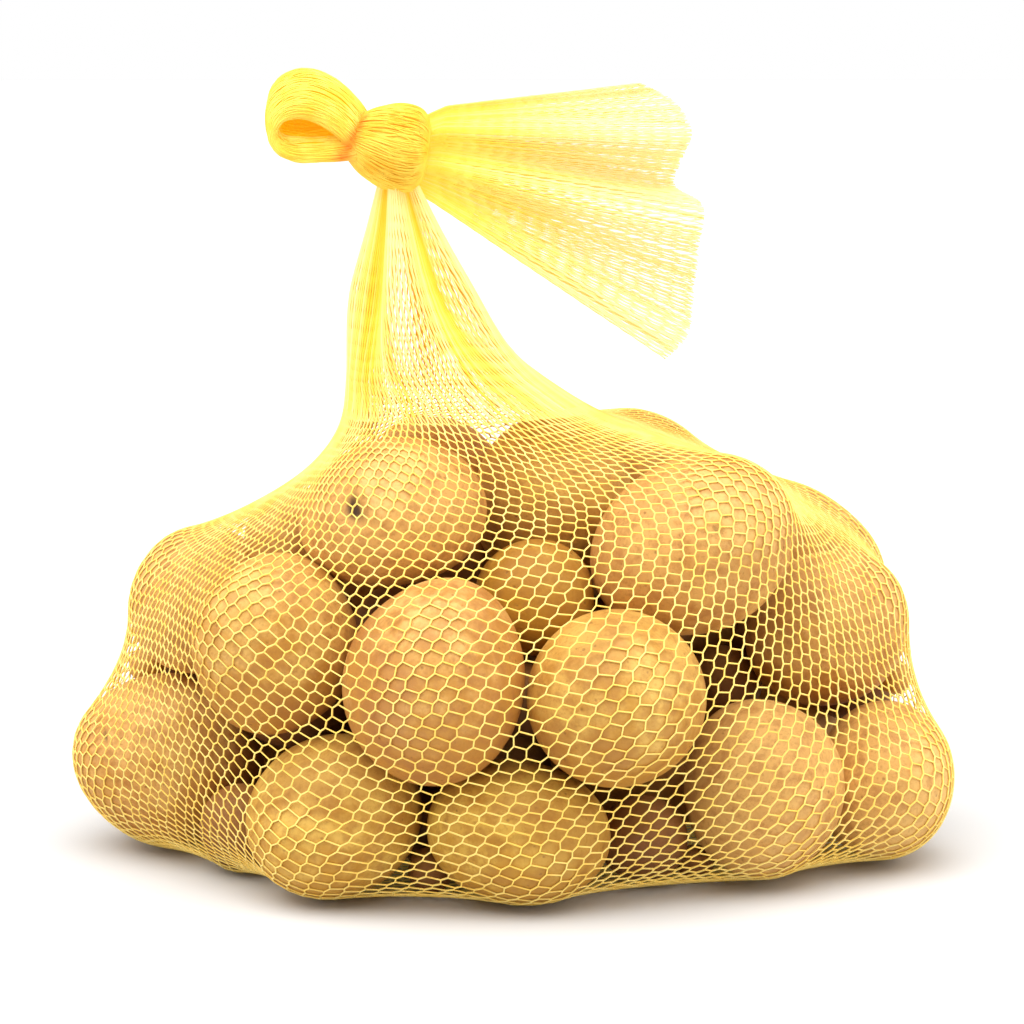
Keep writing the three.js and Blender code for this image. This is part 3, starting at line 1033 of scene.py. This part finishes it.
@dataclass
class KnittedNet:
    """The honeycomb net: thick wales that zigzag upwards, joined by thinner slanting rungs."""

    film: Film
    threads: ThreadTree
    finishes: Finishes
    wales: int = 134
    body_nodes: int = 140
    neck_nodes: int = 32
    lean: float = 0.42
    wander: float = 0.55
    uneven: float = 0.22
    rounds: int = 70
    normal_share: float = 0.12
    stand_off: float = 0.42
    grip: float = 0.15
    corner_ease: float = 0.26
    wale_half: float = 0.305
    rung_half: float = 0.25
    neck_half: float = 0.36
    neck_rung_half: float = 0.21
    neck_drop: int = 3
    free_neck: int = 6
    pull: float = 0.8
    lean_fades: Pair = (0.72, 0.98)
    zigzag: float = 0.14
    zigzag_shares: Pair = (0.3, 0.7)
    drifts: tuple[Wave, ...] = ((1, 6, 3.1, 0), (0.7, 11, -5.3, 0.3))
    rises: tuple[Wave, ...] = ((1, 5, -4.2, 0.6), (0.7, 9, 6.7, 0))
    row_wander: float = 0.32
    paleness: float = 0.55
    thickens: Pair = (0.85, 1.04)
    closes: Pair = (0.94, 1.1)
    gathers: Pair = (0.05, 0.6)
    gathering: float = 0.55
    streaks: float = 0.25
    # Painted light and shade: how much paler the crests of the neck's pleats are, and how much deeper their
    # valleys
    painted_pleat_light: float = 0.9
    even: float = 0.85
    even_steps: int = 2000
    left_crowding: float = 0.04
    end_crowding: float = 0.2
    pairing: float = 0.13
    seed: int = 5

    @staticmethod
    def stray(waves: tuple[Wave, ...], turn: Array, body: Array) -> Array:
        """The sum of some waves on the net.

        Args:
            waves: The waves.
            turn: Places round the net, in whole turns.
            body: Places along the wales, from the seam to the neck.

        Returns:
            One height for each place.
        """
        total = np.zeros(turn.shape)
        for height, around, along, start in waves:
            total = total + height * np.sin(FULL_TURN * (around * turn + along * body + start))
        return total

    def lay_nodes(self) -> Array:
        """Lays the nodes of the net on the film, each wale leaning a little to the right as it rises.

        Returns:
            Points by wale and node, from the bottom seam to the knot.
        """
        film, count = self.film, self.body_nodes + self.neck_nodes
        net = film.tighten()
        wale, node = np.meshgrid(np.arange(self.wales), np.arange(count), indexing="ij")
        body = np.minimum(node / self.body_nodes, 1)
        neck = np.maximum(node - self.body_nodes, 0) / (self.neck_nodes - 1)
        lean = self.lean * np.cumsum(1 - smooth_step(body, *self.lean_fades), axis=1) / 2
        lean = lean - lean[:, -1:]
        open_share = 1 - smooth_step(node / self.body_nodes, *self.closes)
        closed, opened = self.zigzag_shares
        zigzag = np.where(node % 2 == 1, self.zigzag, -self.zigzag) * (closed + opened * open_share)
        fade = np.sin(math.pi * np.clip(body, 0, 1)) ** 0.5
        turn = wale / self.wales
        drift, rise = self.stray(self.drifts, turn, body), self.stray(self.rises, turn, body)
        pairs = np.where(wale % 2 == 1, self.pairing, -self.pairing) * open_share
        place = (wale + lean + zigzag + pairs + self.wander * drift * fade) / self.wales
        crowd = self.left_crowding * np.sin(FULL_TURN * place) / FULL_TURN
        place = place + crowd - self.end_crowding * np.sin(2 * FULL_TURN * place) / (2 * FULL_TURN)
        gathered = smooth_step(neck, *self.gathers) * self.gathering
        towards = np.sin(film.neck.phase(FULL_TURN * place))
        place = place + gathered * towards / (film.neck.pleats * FULL_TURN)
        row = self.even_rows(net, place, body) + neck * film.neck_rows
        row = row + fade * self.wander * self.row_wander * rise
        row = np.clip(row, 0, film.body_rows + film.neck_rows)
        nodes = film.sample(net, place, row)
        centres = film.sample(np.repeat(net.mean(1, keepdims=True), film.columns, 1), place, row)
        nodes = film.neck.pleat(nodes, centres, place * FULL_TURN)
        nodes[..., 2] = np.maximum(nodes[..., 2], self.stand_off)
        return nodes

    def even_rows(self, net: Array, place: Array, body: Array) -> Array:
        """Rows of the film that lie nearly evenly along each wale of the body.

        Args:
            net: The film's points.
            place: Places round the net, in whole turns.
            body: Places along the wales, from the seam to the neck.

        Returns:
            One row of the film for each place.
        """
        film = self.film
        steps = np.linalg.norm(np.diff(net[: film.body_rows + 1], axis=0), axis=-1)
        ways = np.vstack([np.zeros(film.columns), np.cumsum(steps, axis=0)])
        shares = np.linspace(0, 1, self.even_steps + 1)
        numbers = np.arange(film.body_rows + 1)
        table = np.array([np.interp(shares, way / way[-1], numbers) for way in ways.T])
        column = place * film.columns
        first = np.floor(column).astype(int)
        index = np.rint(body * self.even_steps).astype(int)
        low, high = table[first % film.columns, index], table[(first + 1) % film.columns, index]
        even = low + (high - low) * (column - first)
        return self.even * even + (1 - self.even) * body * film.body_rows

    def neighbours(self, nodes: Array) -> tuple[Array, Array, Array]:
        """The nodes next to each node.

        Args:
            nodes: All the nodes.

        Returns:
            The nodes above, below and across the rung.
        """
        across = np.empty_like(nodes)
        across[:, 1::2] = np.roll(nodes, -1, 0)[:, 0::2]
        across[:, 0::2] = np.roll(nodes, 1, 0)[:, 1::2]
        return np.roll(nodes, -1, 1), np.roll(nodes, 1, 1), across

    def relax(self, nodes: Array) -> Array:
        """Lets the threads pull the nodes into an uneven honeycomb that lies on the potatoes.

        Args:
            nodes: The nodes as laid.

        Returns:
            The nodes at rest.
        """
        draw = np.random.default_rng(self.seed)
        shape = nodes.shape[:2]
        upward = np.exp(draw.normal(0, self.uneven, shape))
        downward = np.roll(upward, 1, 1)
        rung = np.exp(draw.normal(0, self.uneven, (shape[0], shape[1] // 2)))
        across = np.empty(shape)
        across[:, 1::2] = rung
        across[:, 0::2] = np.roll(rung, 1, 0)
        total = (upward + downward + across)[..., None]
        free = np.ones(shape, bool)
        free[:, 0] = False
        free[:, self.body_nodes + self.free_neck :] = False
        for _ in range(self.rounds):
            above, below, beside = self.neighbours(nodes)
            pulled = above * upward[..., None] + below * downward[..., None] + beside * across[..., None]
            move = pulled / total - nodes
            around = np.roll(nodes, -1, 0) - np.roll(nodes, 1, 0)
            rise = np.roll(nodes, -2, 1) - np.roll(nodes, 2, 1)
            normal = unit(np.cross(around, rise))
            move = move - (1 - self.normal_share) * (move * normal).sum(-1, keepdims=True) * normal
            moved = nodes + self.pull * move
            pushed = self.film.heap.push_out(
                moved.reshape(-1, 3), nodes.reshape(-1, 3), self.stand_off, self.grip
            ).reshape(nodes.shape)
            pushed[..., 2] = np.maximum(pushed[..., 2], self.stand_off)
            nodes = np.where(free[..., None], pushed, nodes)
        return nodes

    def eased(self, nodes: Array) -> Array:
        """Draws in the corners of the wales.

        Args:
            nodes: All the nodes.

        Returns:
            The nodes with softer corners.
        """
        above, below, _ = self.neighbours(nodes)
        eased = nodes + self.corner_ease * ((above + below) / 2 - nodes)
        eased[:, 0], eased[:, -1] = nodes[:, 0], nodes[:, -1]
        return eased

    def half_at(self, node: Array, body: float, neck: float) -> Array:
        """Half a thread's thickness, which changes as the net closes towards the neck.

        Args:
            node: Places along the wales, in nodes.
            body: Half the thickness on the potatoes.
            neck: Half the thickness in the neck.

        Returns:
            One half thickness for each place.
        """
        return body + (neck - body) * smooth_step(node / self.body_nodes, *self.thickens)

    def wale_runs(self, nodes: Array, first: int, last: int) -> tuple[list[Array], list[Array]]:
        """Lines of the wales between two nodes.

        Args:
            nodes: All the nodes.
            first: The lowest node.
            last: The highest node.

        Returns:
            Points of each wale, and half the thickness at each point.
        """
        part = self.eased(nodes)[:, first : last + 1]
        size = self.half_at(np.arange(first, last + 1), self.wale_half, self.neck_half)
        return list(part), [size] * len(part)

    def rung_ends(self, grid: Array, first: int, last: int, drop: int = 1) -> list[Array]:
        """What a grid holds at the two ends of each rung between two nodes of the wales.

        Args:
            grid: Points or numbers by wale and node.
            first: The lowest node.
            last: The highest node.
            drop: How many nodes each rung falls to the next wale, more where the net is closed.

        Returns:
            One pair for each rung.
        """
        beside = np.roll(grid, -1, 0)
        pairs = []
        for node in range(first + 1 - first % 2, last, 2):
            pairs.extend(np.stack([grid[:, node], beside[:, node - drop]], 1))
        return pairs

    def rung_halves(self, first: int, last: int) -> list[Array]:
        """Half the thickness at the two ends of each rung, in the order of the rungs."""
        nodes = np.repeat(np.arange(first + 1 - first % 2, last, 2), self.wales)
        return [np.full(2, half) for half in self.half_at(nodes, self.rung_half, self.neck_rung_half)]

    def neck_tones(self, count: int) -> Array:
        """How pale the wales of the neck are: each a little its own, with painted light that makes the
        crests of the pleats paler and painted shade that makes their valleys deeper, more so towards the
        knot.

        Args:
            count: How many nodes of each wale lie in the neck.

        Returns:
            One tone for each wale and node of the whole net.
        """
        crest = np.cos(self.film.neck.phase(FULL_TURN * np.arange(self.wales) / self.wales))
        shades = np.random.default_rng(self.seed).normal(self.paleness, self.streaks, self.wales)
        upward = np.linspace(0, 1, count)
        # Painted light on the crests and painted shade in the valleys, growing towards the knot
        tones = np.clip(shades[:, None] + self.painted_pleat_light * crest[:, None] * upward, 0, 1)
        return np.hstack([np.repeat(tones[:, :1], self.body_nodes, 1), tones])

    def build(self) -> None:
        """Adds the wales and rungs of the body and of the neck."""
        nodes = self.relax(self.lay_nodes())
        eased = self.eased(nodes)
        start, top = self.body_nodes, nodes.shape[1] - 1
        tones = self.neck_tones(top + 1 - start)
        add, finishes = self.threads.add, self.finishes
        add("net_wales", *self.wale_runs(nodes, 0, start), finishes.wale)
        add("net_rungs", self.rung_ends(eased, 0, start), self.rung_halves(0, start), finishes.rung)
        add("neck_wales", *self.wale_runs(nodes, start, top), finishes.neck, list(tones[:, start:]))
        runs, shades = (self.rung_ends(grid, start, top, self.neck_drop) for grid in (eased, tones))
        add("neck_rungs", runs, self.rung_halves(start, top), finishes.neck, shades)


@dataclass
class CreaseShade:
    """Painted shade in the deep fold where the loop leaves the knot: the strands and core there are painted
    orange.
    """

    top: Pair = (-44.8, 233.4)
    bottom: Pair = (-51.6, 220.6)
    top_half: float = 0.9
    bottom_half: float = 2.6

    def tone(self, points: Array) -> Array:
        """How far points take the fold's painted orange shade.

        Args:
            points: Points on the knot or the loop.

        Returns:
            One share from 0 to 1 for each point.
        """
        top, line = np.array(self.top), np.array(self.bottom) - np.array(self.top)
        away = points[:, [0, 2]] - top
        share = np.clip(away @ line / (line @ line), 0, 1)
        distance = np.linalg.norm(away - share[:, None] * line, axis=1)
        half = self.top_half + (self.bottom_half - self.top_half) * share
        return np.exp(-((distance / half) ** 2))


@dataclass(frozen=True)
class Straying:
    """How far the strands of gathered net stray: in waves and at random to the side, and off the core."""

    sway: float
    sway_pitch: Pair
    jitter: float
    loose: float
    ripple: float
    ripple_pitch: Pair
    starts: Pair = (0, 6)

    def draw(self, share: Array, draw: np.random.Generator) -> tuple[Array, float, Array]:
        """Draws how one strand strays.

        Args:
            share: Places along the strand.
            draw: The random draws.

        Returns:
            Its sway and its jitter as angles, and its lift off the core.
        """
        sway = draw.normal(0, self.sway)
        sway = sway * np.sin(share * draw.uniform(*self.sway_pitch) + draw.uniform(*self.starts))
        jitter = draw.normal(0, self.jitter)
        lift = draw.normal(0.0, self.loose)
        ripple = np.sin(share * draw.uniform(*self.ripple_pitch) + draw.uniform(*self.starts))
        return sway, jitter, lift + self.ripple * ripple


def tube_faces(sides: int, steps: int) -> Array:
    """Faces of a closed ring of tube.

    Args:
        sides: Points round the tube.
        steps: Points along it.

    Returns:
        The corners of each face, by side and step.
    """
    index = np.arange(sides * steps).reshape(sides, steps)
    beside = np.roll(index, -1, 0)
    return np.stack([index, np.roll(index, -1, 1), np.roll(beside, -1, 1), beside], -1)


@dataclass
class Knot:
    """The slipped knot: a pear of gathered net with strands drawn over it."""

    threads: ThreadTree
    finishes: Finishes
    crease_shade: CreaseShade
    left: Triple = (-53, -1, 226.5)
    profile: tuple[Pair, ...] = (
        (0, 0), (2.5, 0.4), (5.6, 3.5), (9.6, 8), (12.4, 14), (13.4, 19.5), (12.6, 24), (9, 26.8),
        (4, 27.6), (0, 27.8),
    )
    tilt: float = math.radians(9)
    strands: int = 320
    steps: int = 34
    sides: int = 40
    core_lift: float = -0.45
    strand_half: float = 0.2
    sweep: float = 0.35
    sweep_ends: float = 0.6
    straying: Straying = Straying(0.04, (8, 20), 0.02, 0.08, 0.16, (8, 22))
    seed: int = 21

    def place(self, angle: Array, share: Array, lift: Array | float) -> Array:
        """Points on the pear.

        Args:
            angle: Angles round its long axis.
            share: Places along the profile.
            lift: How far above the pear.

        Returns:
            One point for each angle and share.
        """
        radius, along = spline(np.array(self.profile), share).T
        radius = np.maximum(radius, 0) + lift
        local = np.stack([along, radius * np.cos(angle), radius * np.sin(angle)], -1)
        c, s = math.cos(self.tilt), math.sin(self.tilt)
        x, y, z = local.T
        return np.stack([c * x + s * z, y, c * z - s * x], -1) + np.array(self.left)

    def build(self) -> None:
        """Adds the gathered core and the strands on it."""
        share = np.linspace(0, 1, self.steps + 1)
        angles = np.arange(self.sides) / self.sides * FULL_TURN
        grid = np.array([self.place(np.full_like(share, a), share, self.core_lift) for a in angles])
        faces = tube_faces(self.sides, self.steps + 1)[:, :-1, [0, 3, 2, 1]].reshape(-1, 4)
        # Painted shade: the core goes orange near the fold with the loop
        tone = self.crease_shade.tone(grid.reshape(-1, 3))
        mesh = smooth_mesh("knot_core", grid, faces, self.finishes.knot, tone=tone)
        add_piece("knot_core", mesh)
        draw = np.random.default_rng(self.seed)
        sweep = self.sweep * smooth_step(share, 0.0, self.sweep_ends)
        runs = []
        for number in range(self.strands):
            sway, jitter, lift = self.straying.draw(share, draw)
            angle = number / self.strands * FULL_TURN + sweep + sway + jitter
            runs.append(self.place(angle, share, lift))
        sizes = [np.full(len(run), self.strand_half) for run in runs]
        # Painted shade: the strands go orange near the fold with the loop
        tones = [self.crease_shade.tone(run) for run in runs]
        self.threads.add("knot_strands", runs, sizes, self.finishes.knot, tones)


@dataclass
class Loop:
    """The bight of net that stands out of the knot."""

    threads: ThreadTree
    finishes: Finishes
    crease_shade: CreaseShade
    path: tuple[Pair, ...] = (
        (-47.5, 227.6), (-57, 226.2), (-66, 226.2), (-71.4, 228.6), (-73.0, 232.8), (-70.6, 238.0),
        (-64, 240.2), (-56, 237.6), (-49.5, 232.2),
    )
    half_thick: tuple[float, ...] = (3.8, 3.5, 3.3, 2.4, 1.9, 3.6, 4.9, 4.9, 4.2)
    half_depth: float = 6.6
    shift: float = -2.0
    rise: float = 0.78
    glance: float = 0.004
    strands: int = 230
    steps: int = 50
    sides: int = 28
    core_lift: float = -0.4
    strand_half: float = 0.2
    straying: Straying = Straying(0.07, (8, 26), 0.03, 0.1, 0.2, (10, 30))
    # Strands round this angle line the eye and are painted orange as the shade inside it
    lining_middle: float = math.radians(150)
    lining_half: float = math.radians(55)
    seed: int = 33

    def place(self, share: Array, angle: Array, lift: Array | float) -> Array:
        """Points on the band of the loop.

        Args:
            share: Places along the loop.
            angle: Angles round the band.
            lift: How far above the band.

        Returns:
            One point for each share and angle.
        """
        rows = np.column_stack([np.array(self.path), np.array(self.half_thick)])
        glances = (-self.glance, 0, self.glance)
        behind, at, ahead = (spline(rows, (share + step) % 1, closed=True) for step in glances)
        along = unit((ahead - behind)[:, :2])
        thick = (at[:, 2] + lift) * np.cos(angle)
        deep = (self.half_depth + lift) * np.sin(angle)
        across = at[:, 0] - along[:, 1] * thick
        return np.stack([across, self.shift + deep, at[:, 1] + along[:, 0] * thick + self.rise * deep], -1)

    def build(self) -> None:
        """Adds the gathered core, the strands on it and those that line its eye, which are painted the
        core's orange as shade inside the eye.
        """
        share = np.arange(self.steps) / self.steps
        angles = np.arange(self.sides) / self.sides * FULL_TURN
        grid = np.array([self.place(share, np.full_like(share, a), self.core_lift) for a in angles])
        faces = tube_faces(self.sides, self.steps).reshape(-1, 4)
        add_piece("loop_core", smooth_mesh("loop_core", grid, faces, self.finishes.core))
        draw = np.random.default_rng(self.seed)
        ends = np.linspace(0.0, 1.0, self.steps + 1)
        layers = {"loop_strands": (self.finishes.loop, []), "loop_shaded_lining": (self.finishes.core, [])}
        for number in range(self.strands):
            sway, jitter, lift = self.straying.draw(ends, draw)
            start = number / self.strands * FULL_TURN + jitter
            # Painted shade: strands that face into the eye take the orange finish
            lines = math.cos(start - self.lining_middle) > math.cos(self.lining_half)
            layer = "loop_shaded_lining" if lines else "loop_strands"
            layers[layer][1].append(self.place(ends, start + sway, lift))
        for name, (finish, runs) in layers.items():
            sizes = [np.full(len(run), self.strand_half) for run in runs]
            # Painted shade: strands of the loop go orange near the fold with the knot
            self.threads.add(name, runs, sizes, finish, [self.crease_shade.tone(run) for run in runs])


@dataclass
class LooseEnd:
    """The cut end of the net beyond the knot: two layers that fan out in flutes."""

    threads: ThreadTree
    finishes: Finishes
    root: tuple[Pair, ...] = ((-36, 229), (-36, 214))
    collar: tuple[Pair, ...] = ((-20, 236.2), (-24, 206.5))
    edge: tuple[Pair, ...] = (
        (39, 243.4), (50, 237.4), (54.8, 229), (52.4, 220.5), (50.5, 211.5), (58.6, 206),
        (57.6, 194.6), (56.8, 180.6), (55, 166.6), (47.2, 158.8),
    )
    collar_share: float = 0.17
    thickness: float = 3.2
    flutes: float = 2.6
    flute_depth: float = 6.5
    flute_phase: float = 0.6
    back_phase: float = 0.5
    swell: float = 0.8
    wales: int = 110
    nodes: int = 38
    pales: Pair = (0.1, 0.9)
    streaks: float = 0.2
    wale_halves: Pair = (0.16, 0.21)
    rung_half: float = 0.14
    first_rung: int = 5
    rung_drop: int = 2
    drift_kept: float = 0.8
    drift_step: float = 0.3
    wander: float = 0.0012
    wander_share: float = 0.35
    zigzag: float = 0.0009
    reach_uneven: float = 0.005
    flap_spacing: float = 0.6
    flap_uneven: float = 0.06
    flap_shift: float = 1.1
    flaps: tuple[Triple, ...] = (
        (0.34, 0.43, 0.85), (0.66, 0.78, 0.62), (0.93, 1.0, 1.0), (0.0, 0.06, 0.8),
        (0.45, 0.95, 0.36),
    )
    seed: int = 44

    def place(self, share: Array, along: Array, side: Side) -> Array:
        """Points of one layer.

        Args:
            share: Places across the fan from its top to its bottom edge.
            along: Places from the knot to the cut edge.
            side: The layer.

        Returns:
            One point for each place.
        """
        top, bottom = np.array(self.root)
        root = top + (bottom - top) * share[:, None]
        top, bottom = np.array(self.collar)
        collar = top + (bottom - top) * share[:, None]
        end = spline(np.array(self.edge), share)
        near = np.clip(along / self.collar_share, 0, 1)[:, None]
        far = np.clip((along - self.collar_share) / (1 - self.collar_share), 0, 1)[:, None]
        flat = root + (collar - root) * near + (end - collar) * far
        phase = self.flute_phase + (self.back_phase if side is Side.BACK else 0.0)
        flute = np.sin(FULL_TURN * self.flutes * share + phase) * along
        swell = np.sin(math.pi * np.clip(along, 0, 1) * self.swell)
        thick = self.thickness * np.sqrt(np.maximum(0, swell))
        depth = self.flute_depth * flute + 0.5 * side.value * thick * np.sin(math.pi * share)
        return np.stack([flat[:, 0], depth, flat[:, 1]], -1)

    def weave(
        self, side: Side, shares: Array, reaches: Array, shift: float, draw: np.random.Generator
    ) -> Array:
        """Nodes of one layer or flap.

        Args:
            side: The layer that it lies on.
            shares: Where each wale starts across the fan.
            reaches: How far along the fan each wale goes.
            shift: How far it stands off the layer.
            draw: The random draws.

        Returns:
            Points by wale and node.
        """
        step, last = np.arange(self.nodes), self.nodes - 1
        bow = np.sin(math.pi * step / last)
        zigzag = np.where(step % 2 == 1, self.zigzag, -self.zigzag)
        grid = np.empty((len(shares), self.nodes, 3))
        drift = 0.0
        for wale, (share, reach) in enumerate(zip(shares, reaches)):
            drift = self.drift_kept * drift + draw.normal(0, self.drift_step)
            wander = draw.normal(0, self.wander, self.nodes).cumsum() * self.wander_share
            along = np.clip((step + drift * bow) / last, 0, 1)
            along = along * reach * (1 + draw.normal(0, self.reach_uneven))
            grid[wale] = self.place(np.clip(share + wander + zigzag, 0, 1), along, side)
            grid[wale, :, 1] += shift
        return grid

    def build(self) -> None:
        """Adds the wales and rungs of both layers and of the flaps that are folded on them."""
        draw = np.random.default_rng(self.seed)
        shares = (np.arange(self.wales) + 0.5) / self.wales
        grids = [self.weave(side, shares, np.ones(self.wales), 0.0, draw) for side in Side]
        for low, high, reach in self.flaps:
            chosen = np.arange(low, high, self.flap_spacing / self.wales)
            point = np.sin(math.pi * (chosen - low) / (high - low))
            uneven = 1 + draw.normal(0, self.flap_uneven, len(chosen))
            reaches = np.minimum(reach * (0.5 + 0.5 * point) * uneven, 1)
            grids.append(self.weave(Side.BACK, chosen, reaches, self.flap_shift, draw))
        runs = [wale for grid in grids for wale in grid]
        sizes = [np.linspace(*self.wale_halves, self.nodes)] * len(runs)
        fades = smooth_step(np.arange(self.nodes) / (self.nodes - 1), *self.pales)
        tones = [np.clip(fades + draw.normal(0, self.streaks), 0, 1) for _ in runs]
        self.threads.add("tail_wales", runs, sizes, self.finishes.tail, tones)
        runs, tones = [], []
        for grid in grids:
            for left, right in zip(grid[:-1], grid[1:]):
                for node in range(self.first_rung, self.nodes, 2):
                    runs.append(np.array([left[node], right[node - self.rung_drop]]))
                    tones.append(np.full(2, fades[node]))
        sizes = [np.full(2, self.rung_half)] * len(runs)
        self.threads.add("tail_rungs", runs, sizes, self.finishes.tail, tones)


@dataclass(frozen=True)
class Lamp:
    """One broad lamp: where it shines from, how strongly, and how broad it is in degrees."""

    name: str
    place: Triple
    strength: float
    spread: float

    def build(self) -> None:
        """Adds the lamp, which lights the whole floor evenly."""
        lamp = bpy.data.lights.new(self.name, "SUN")
        lamp.energy, lamp.angle = self.strength, math.radians(self.spread)
        made = new_object(self.name, lamp)
        made.rotation_euler = (-Vector(self.place)).to_track_quat("-Z", "Y").to_euler()


@dataclass
class Studio:
    """Pale floor, soft light and the camera."""

    distance: float = 1.0
    elevation: float = math.radians(10)
    aim_height: float = 0.11
    lens: float = 112.3
    sensor: float = 36.0
    floor_half: float = 6.0
    floor_greys: Pair = (0.64, 0.66)
    floor_cloud: float = 3.0
    floor_roughness: float = 0.8
    floor_shine: float = 0.1
    sky: float = 0.2
    backdrop: float = 1.0
    lamps: tuple[Lamp, ...] = (
        Lamp("overhead", (-0.12, -0.28, 0.95), 4.05, 70),
        Lamp("left_side", (-0.9, -0.05, 0.42), 1.8, 80),
        Lamp("right_side", (0.9, -0.05, 0.42), 2.45, 80),
    )

    def build_floor(self) -> None:
        """Adds the floor."""
        g = Graph("pale_floor")
        dark, light = ((grey, grey, grey, 1) for grey in self.floor_greys)
        tone = g.mix(g.noise(g.place(), self.floor_cloud), dark, light)
        paint = g.finish(
            {"Base Color": tone, "Roughness": self.floor_roughness, "Specular IOR Level": self.floor_shine}
        )
        mesh = bpy.data.meshes.new("floor")
        r = self.floor_half
        mesh.from_pydata([(-r, -r, 0), (r, -r, 0), (r, r, 0), (-r, r, 0)], [], [(0, 1, 2, 3)])
        mesh.materials.append(paint)
        new_object("floor", mesh)

    def build_world(self) -> None:
        """Adds a dim white sky, which the camera sees as a bright backdrop."""
        world = bpy.data.worlds.new("studio")
        world.use_nodes = True
        tree = world.node_tree
        sky = tree.nodes["Background"]
        backdrop = tree.nodes.new("ShaderNodeBackground")
        for light, strength in ((sky, self.sky), (backdrop, self.backdrop)):
            light.inputs["Color"].default_value = (1, 1, 1, 1)
            light.inputs["Strength"].default_value = strength
        path = tree.nodes.new("ShaderNodeLightPath")
        chosen = tree.nodes.new("ShaderNodeMixShader")
        tree.links.new(path.outputs["Is Camera Ray"], chosen.inputs["Fac"])
        tree.links.new(sky.outputs["Background"], chosen.inputs[1])
        tree.links.new(backdrop.outputs["Background"], chosen.inputs[2])
        tree.links.new(chosen.outputs["Shader"], tree.nodes["World Output"].inputs["Surface"])
        bpy.context.scene.world = world
        bpy.context.scene.view_settings.view_transform = "Standard"

    def build_camera(self) -> None:
        """Adds the camera at the angle of the photo."""
        lens = bpy.data.cameras.new("camera")
        lens.lens, lens.sensor_width = self.lens, self.sensor
        camera = new_object("camera", lens)
        aim = Vector((FRAME_SHIFT[0] * MM, FRAME_SHIFT[1] * MM, self.aim_height))
        back = Vector((0, -math.cos(self.elevation), math.sin(self.elevation)))
        camera.location = aim + back * self.distance
        camera.rotation_euler = (-back).to_track_quat("-Z", "Y").to_euler()
        bpy.context.scene.camera = camera

    def build(self) -> None:
        """Adds the floor, the lamps, the world and the camera."""
        self.build_floor()
        for lamp in self.lamps:
            lamp.build()
        self.build_world()
        self.build_camera()


def main() -> None:
    """Builds every piece."""
    logging.basicConfig(level=logging.INFO, format="%(message)s")
    finishes = Finishes()
    threads = ThreadTree()
    heap = Heap()
    heap.build(finishes.skin)
    film = Film(heap, Neck())
    KnittedNet(film, threads, finishes).build()
    crease_shade = CreaseShade()
    Knot(threads, finishes, crease_shade).build()
    Loop(threads, finishes, crease_shade).build()
    LooseEnd(threads, finishes).build()
    Studio().build()


if __name__ == "__main__":
    main()
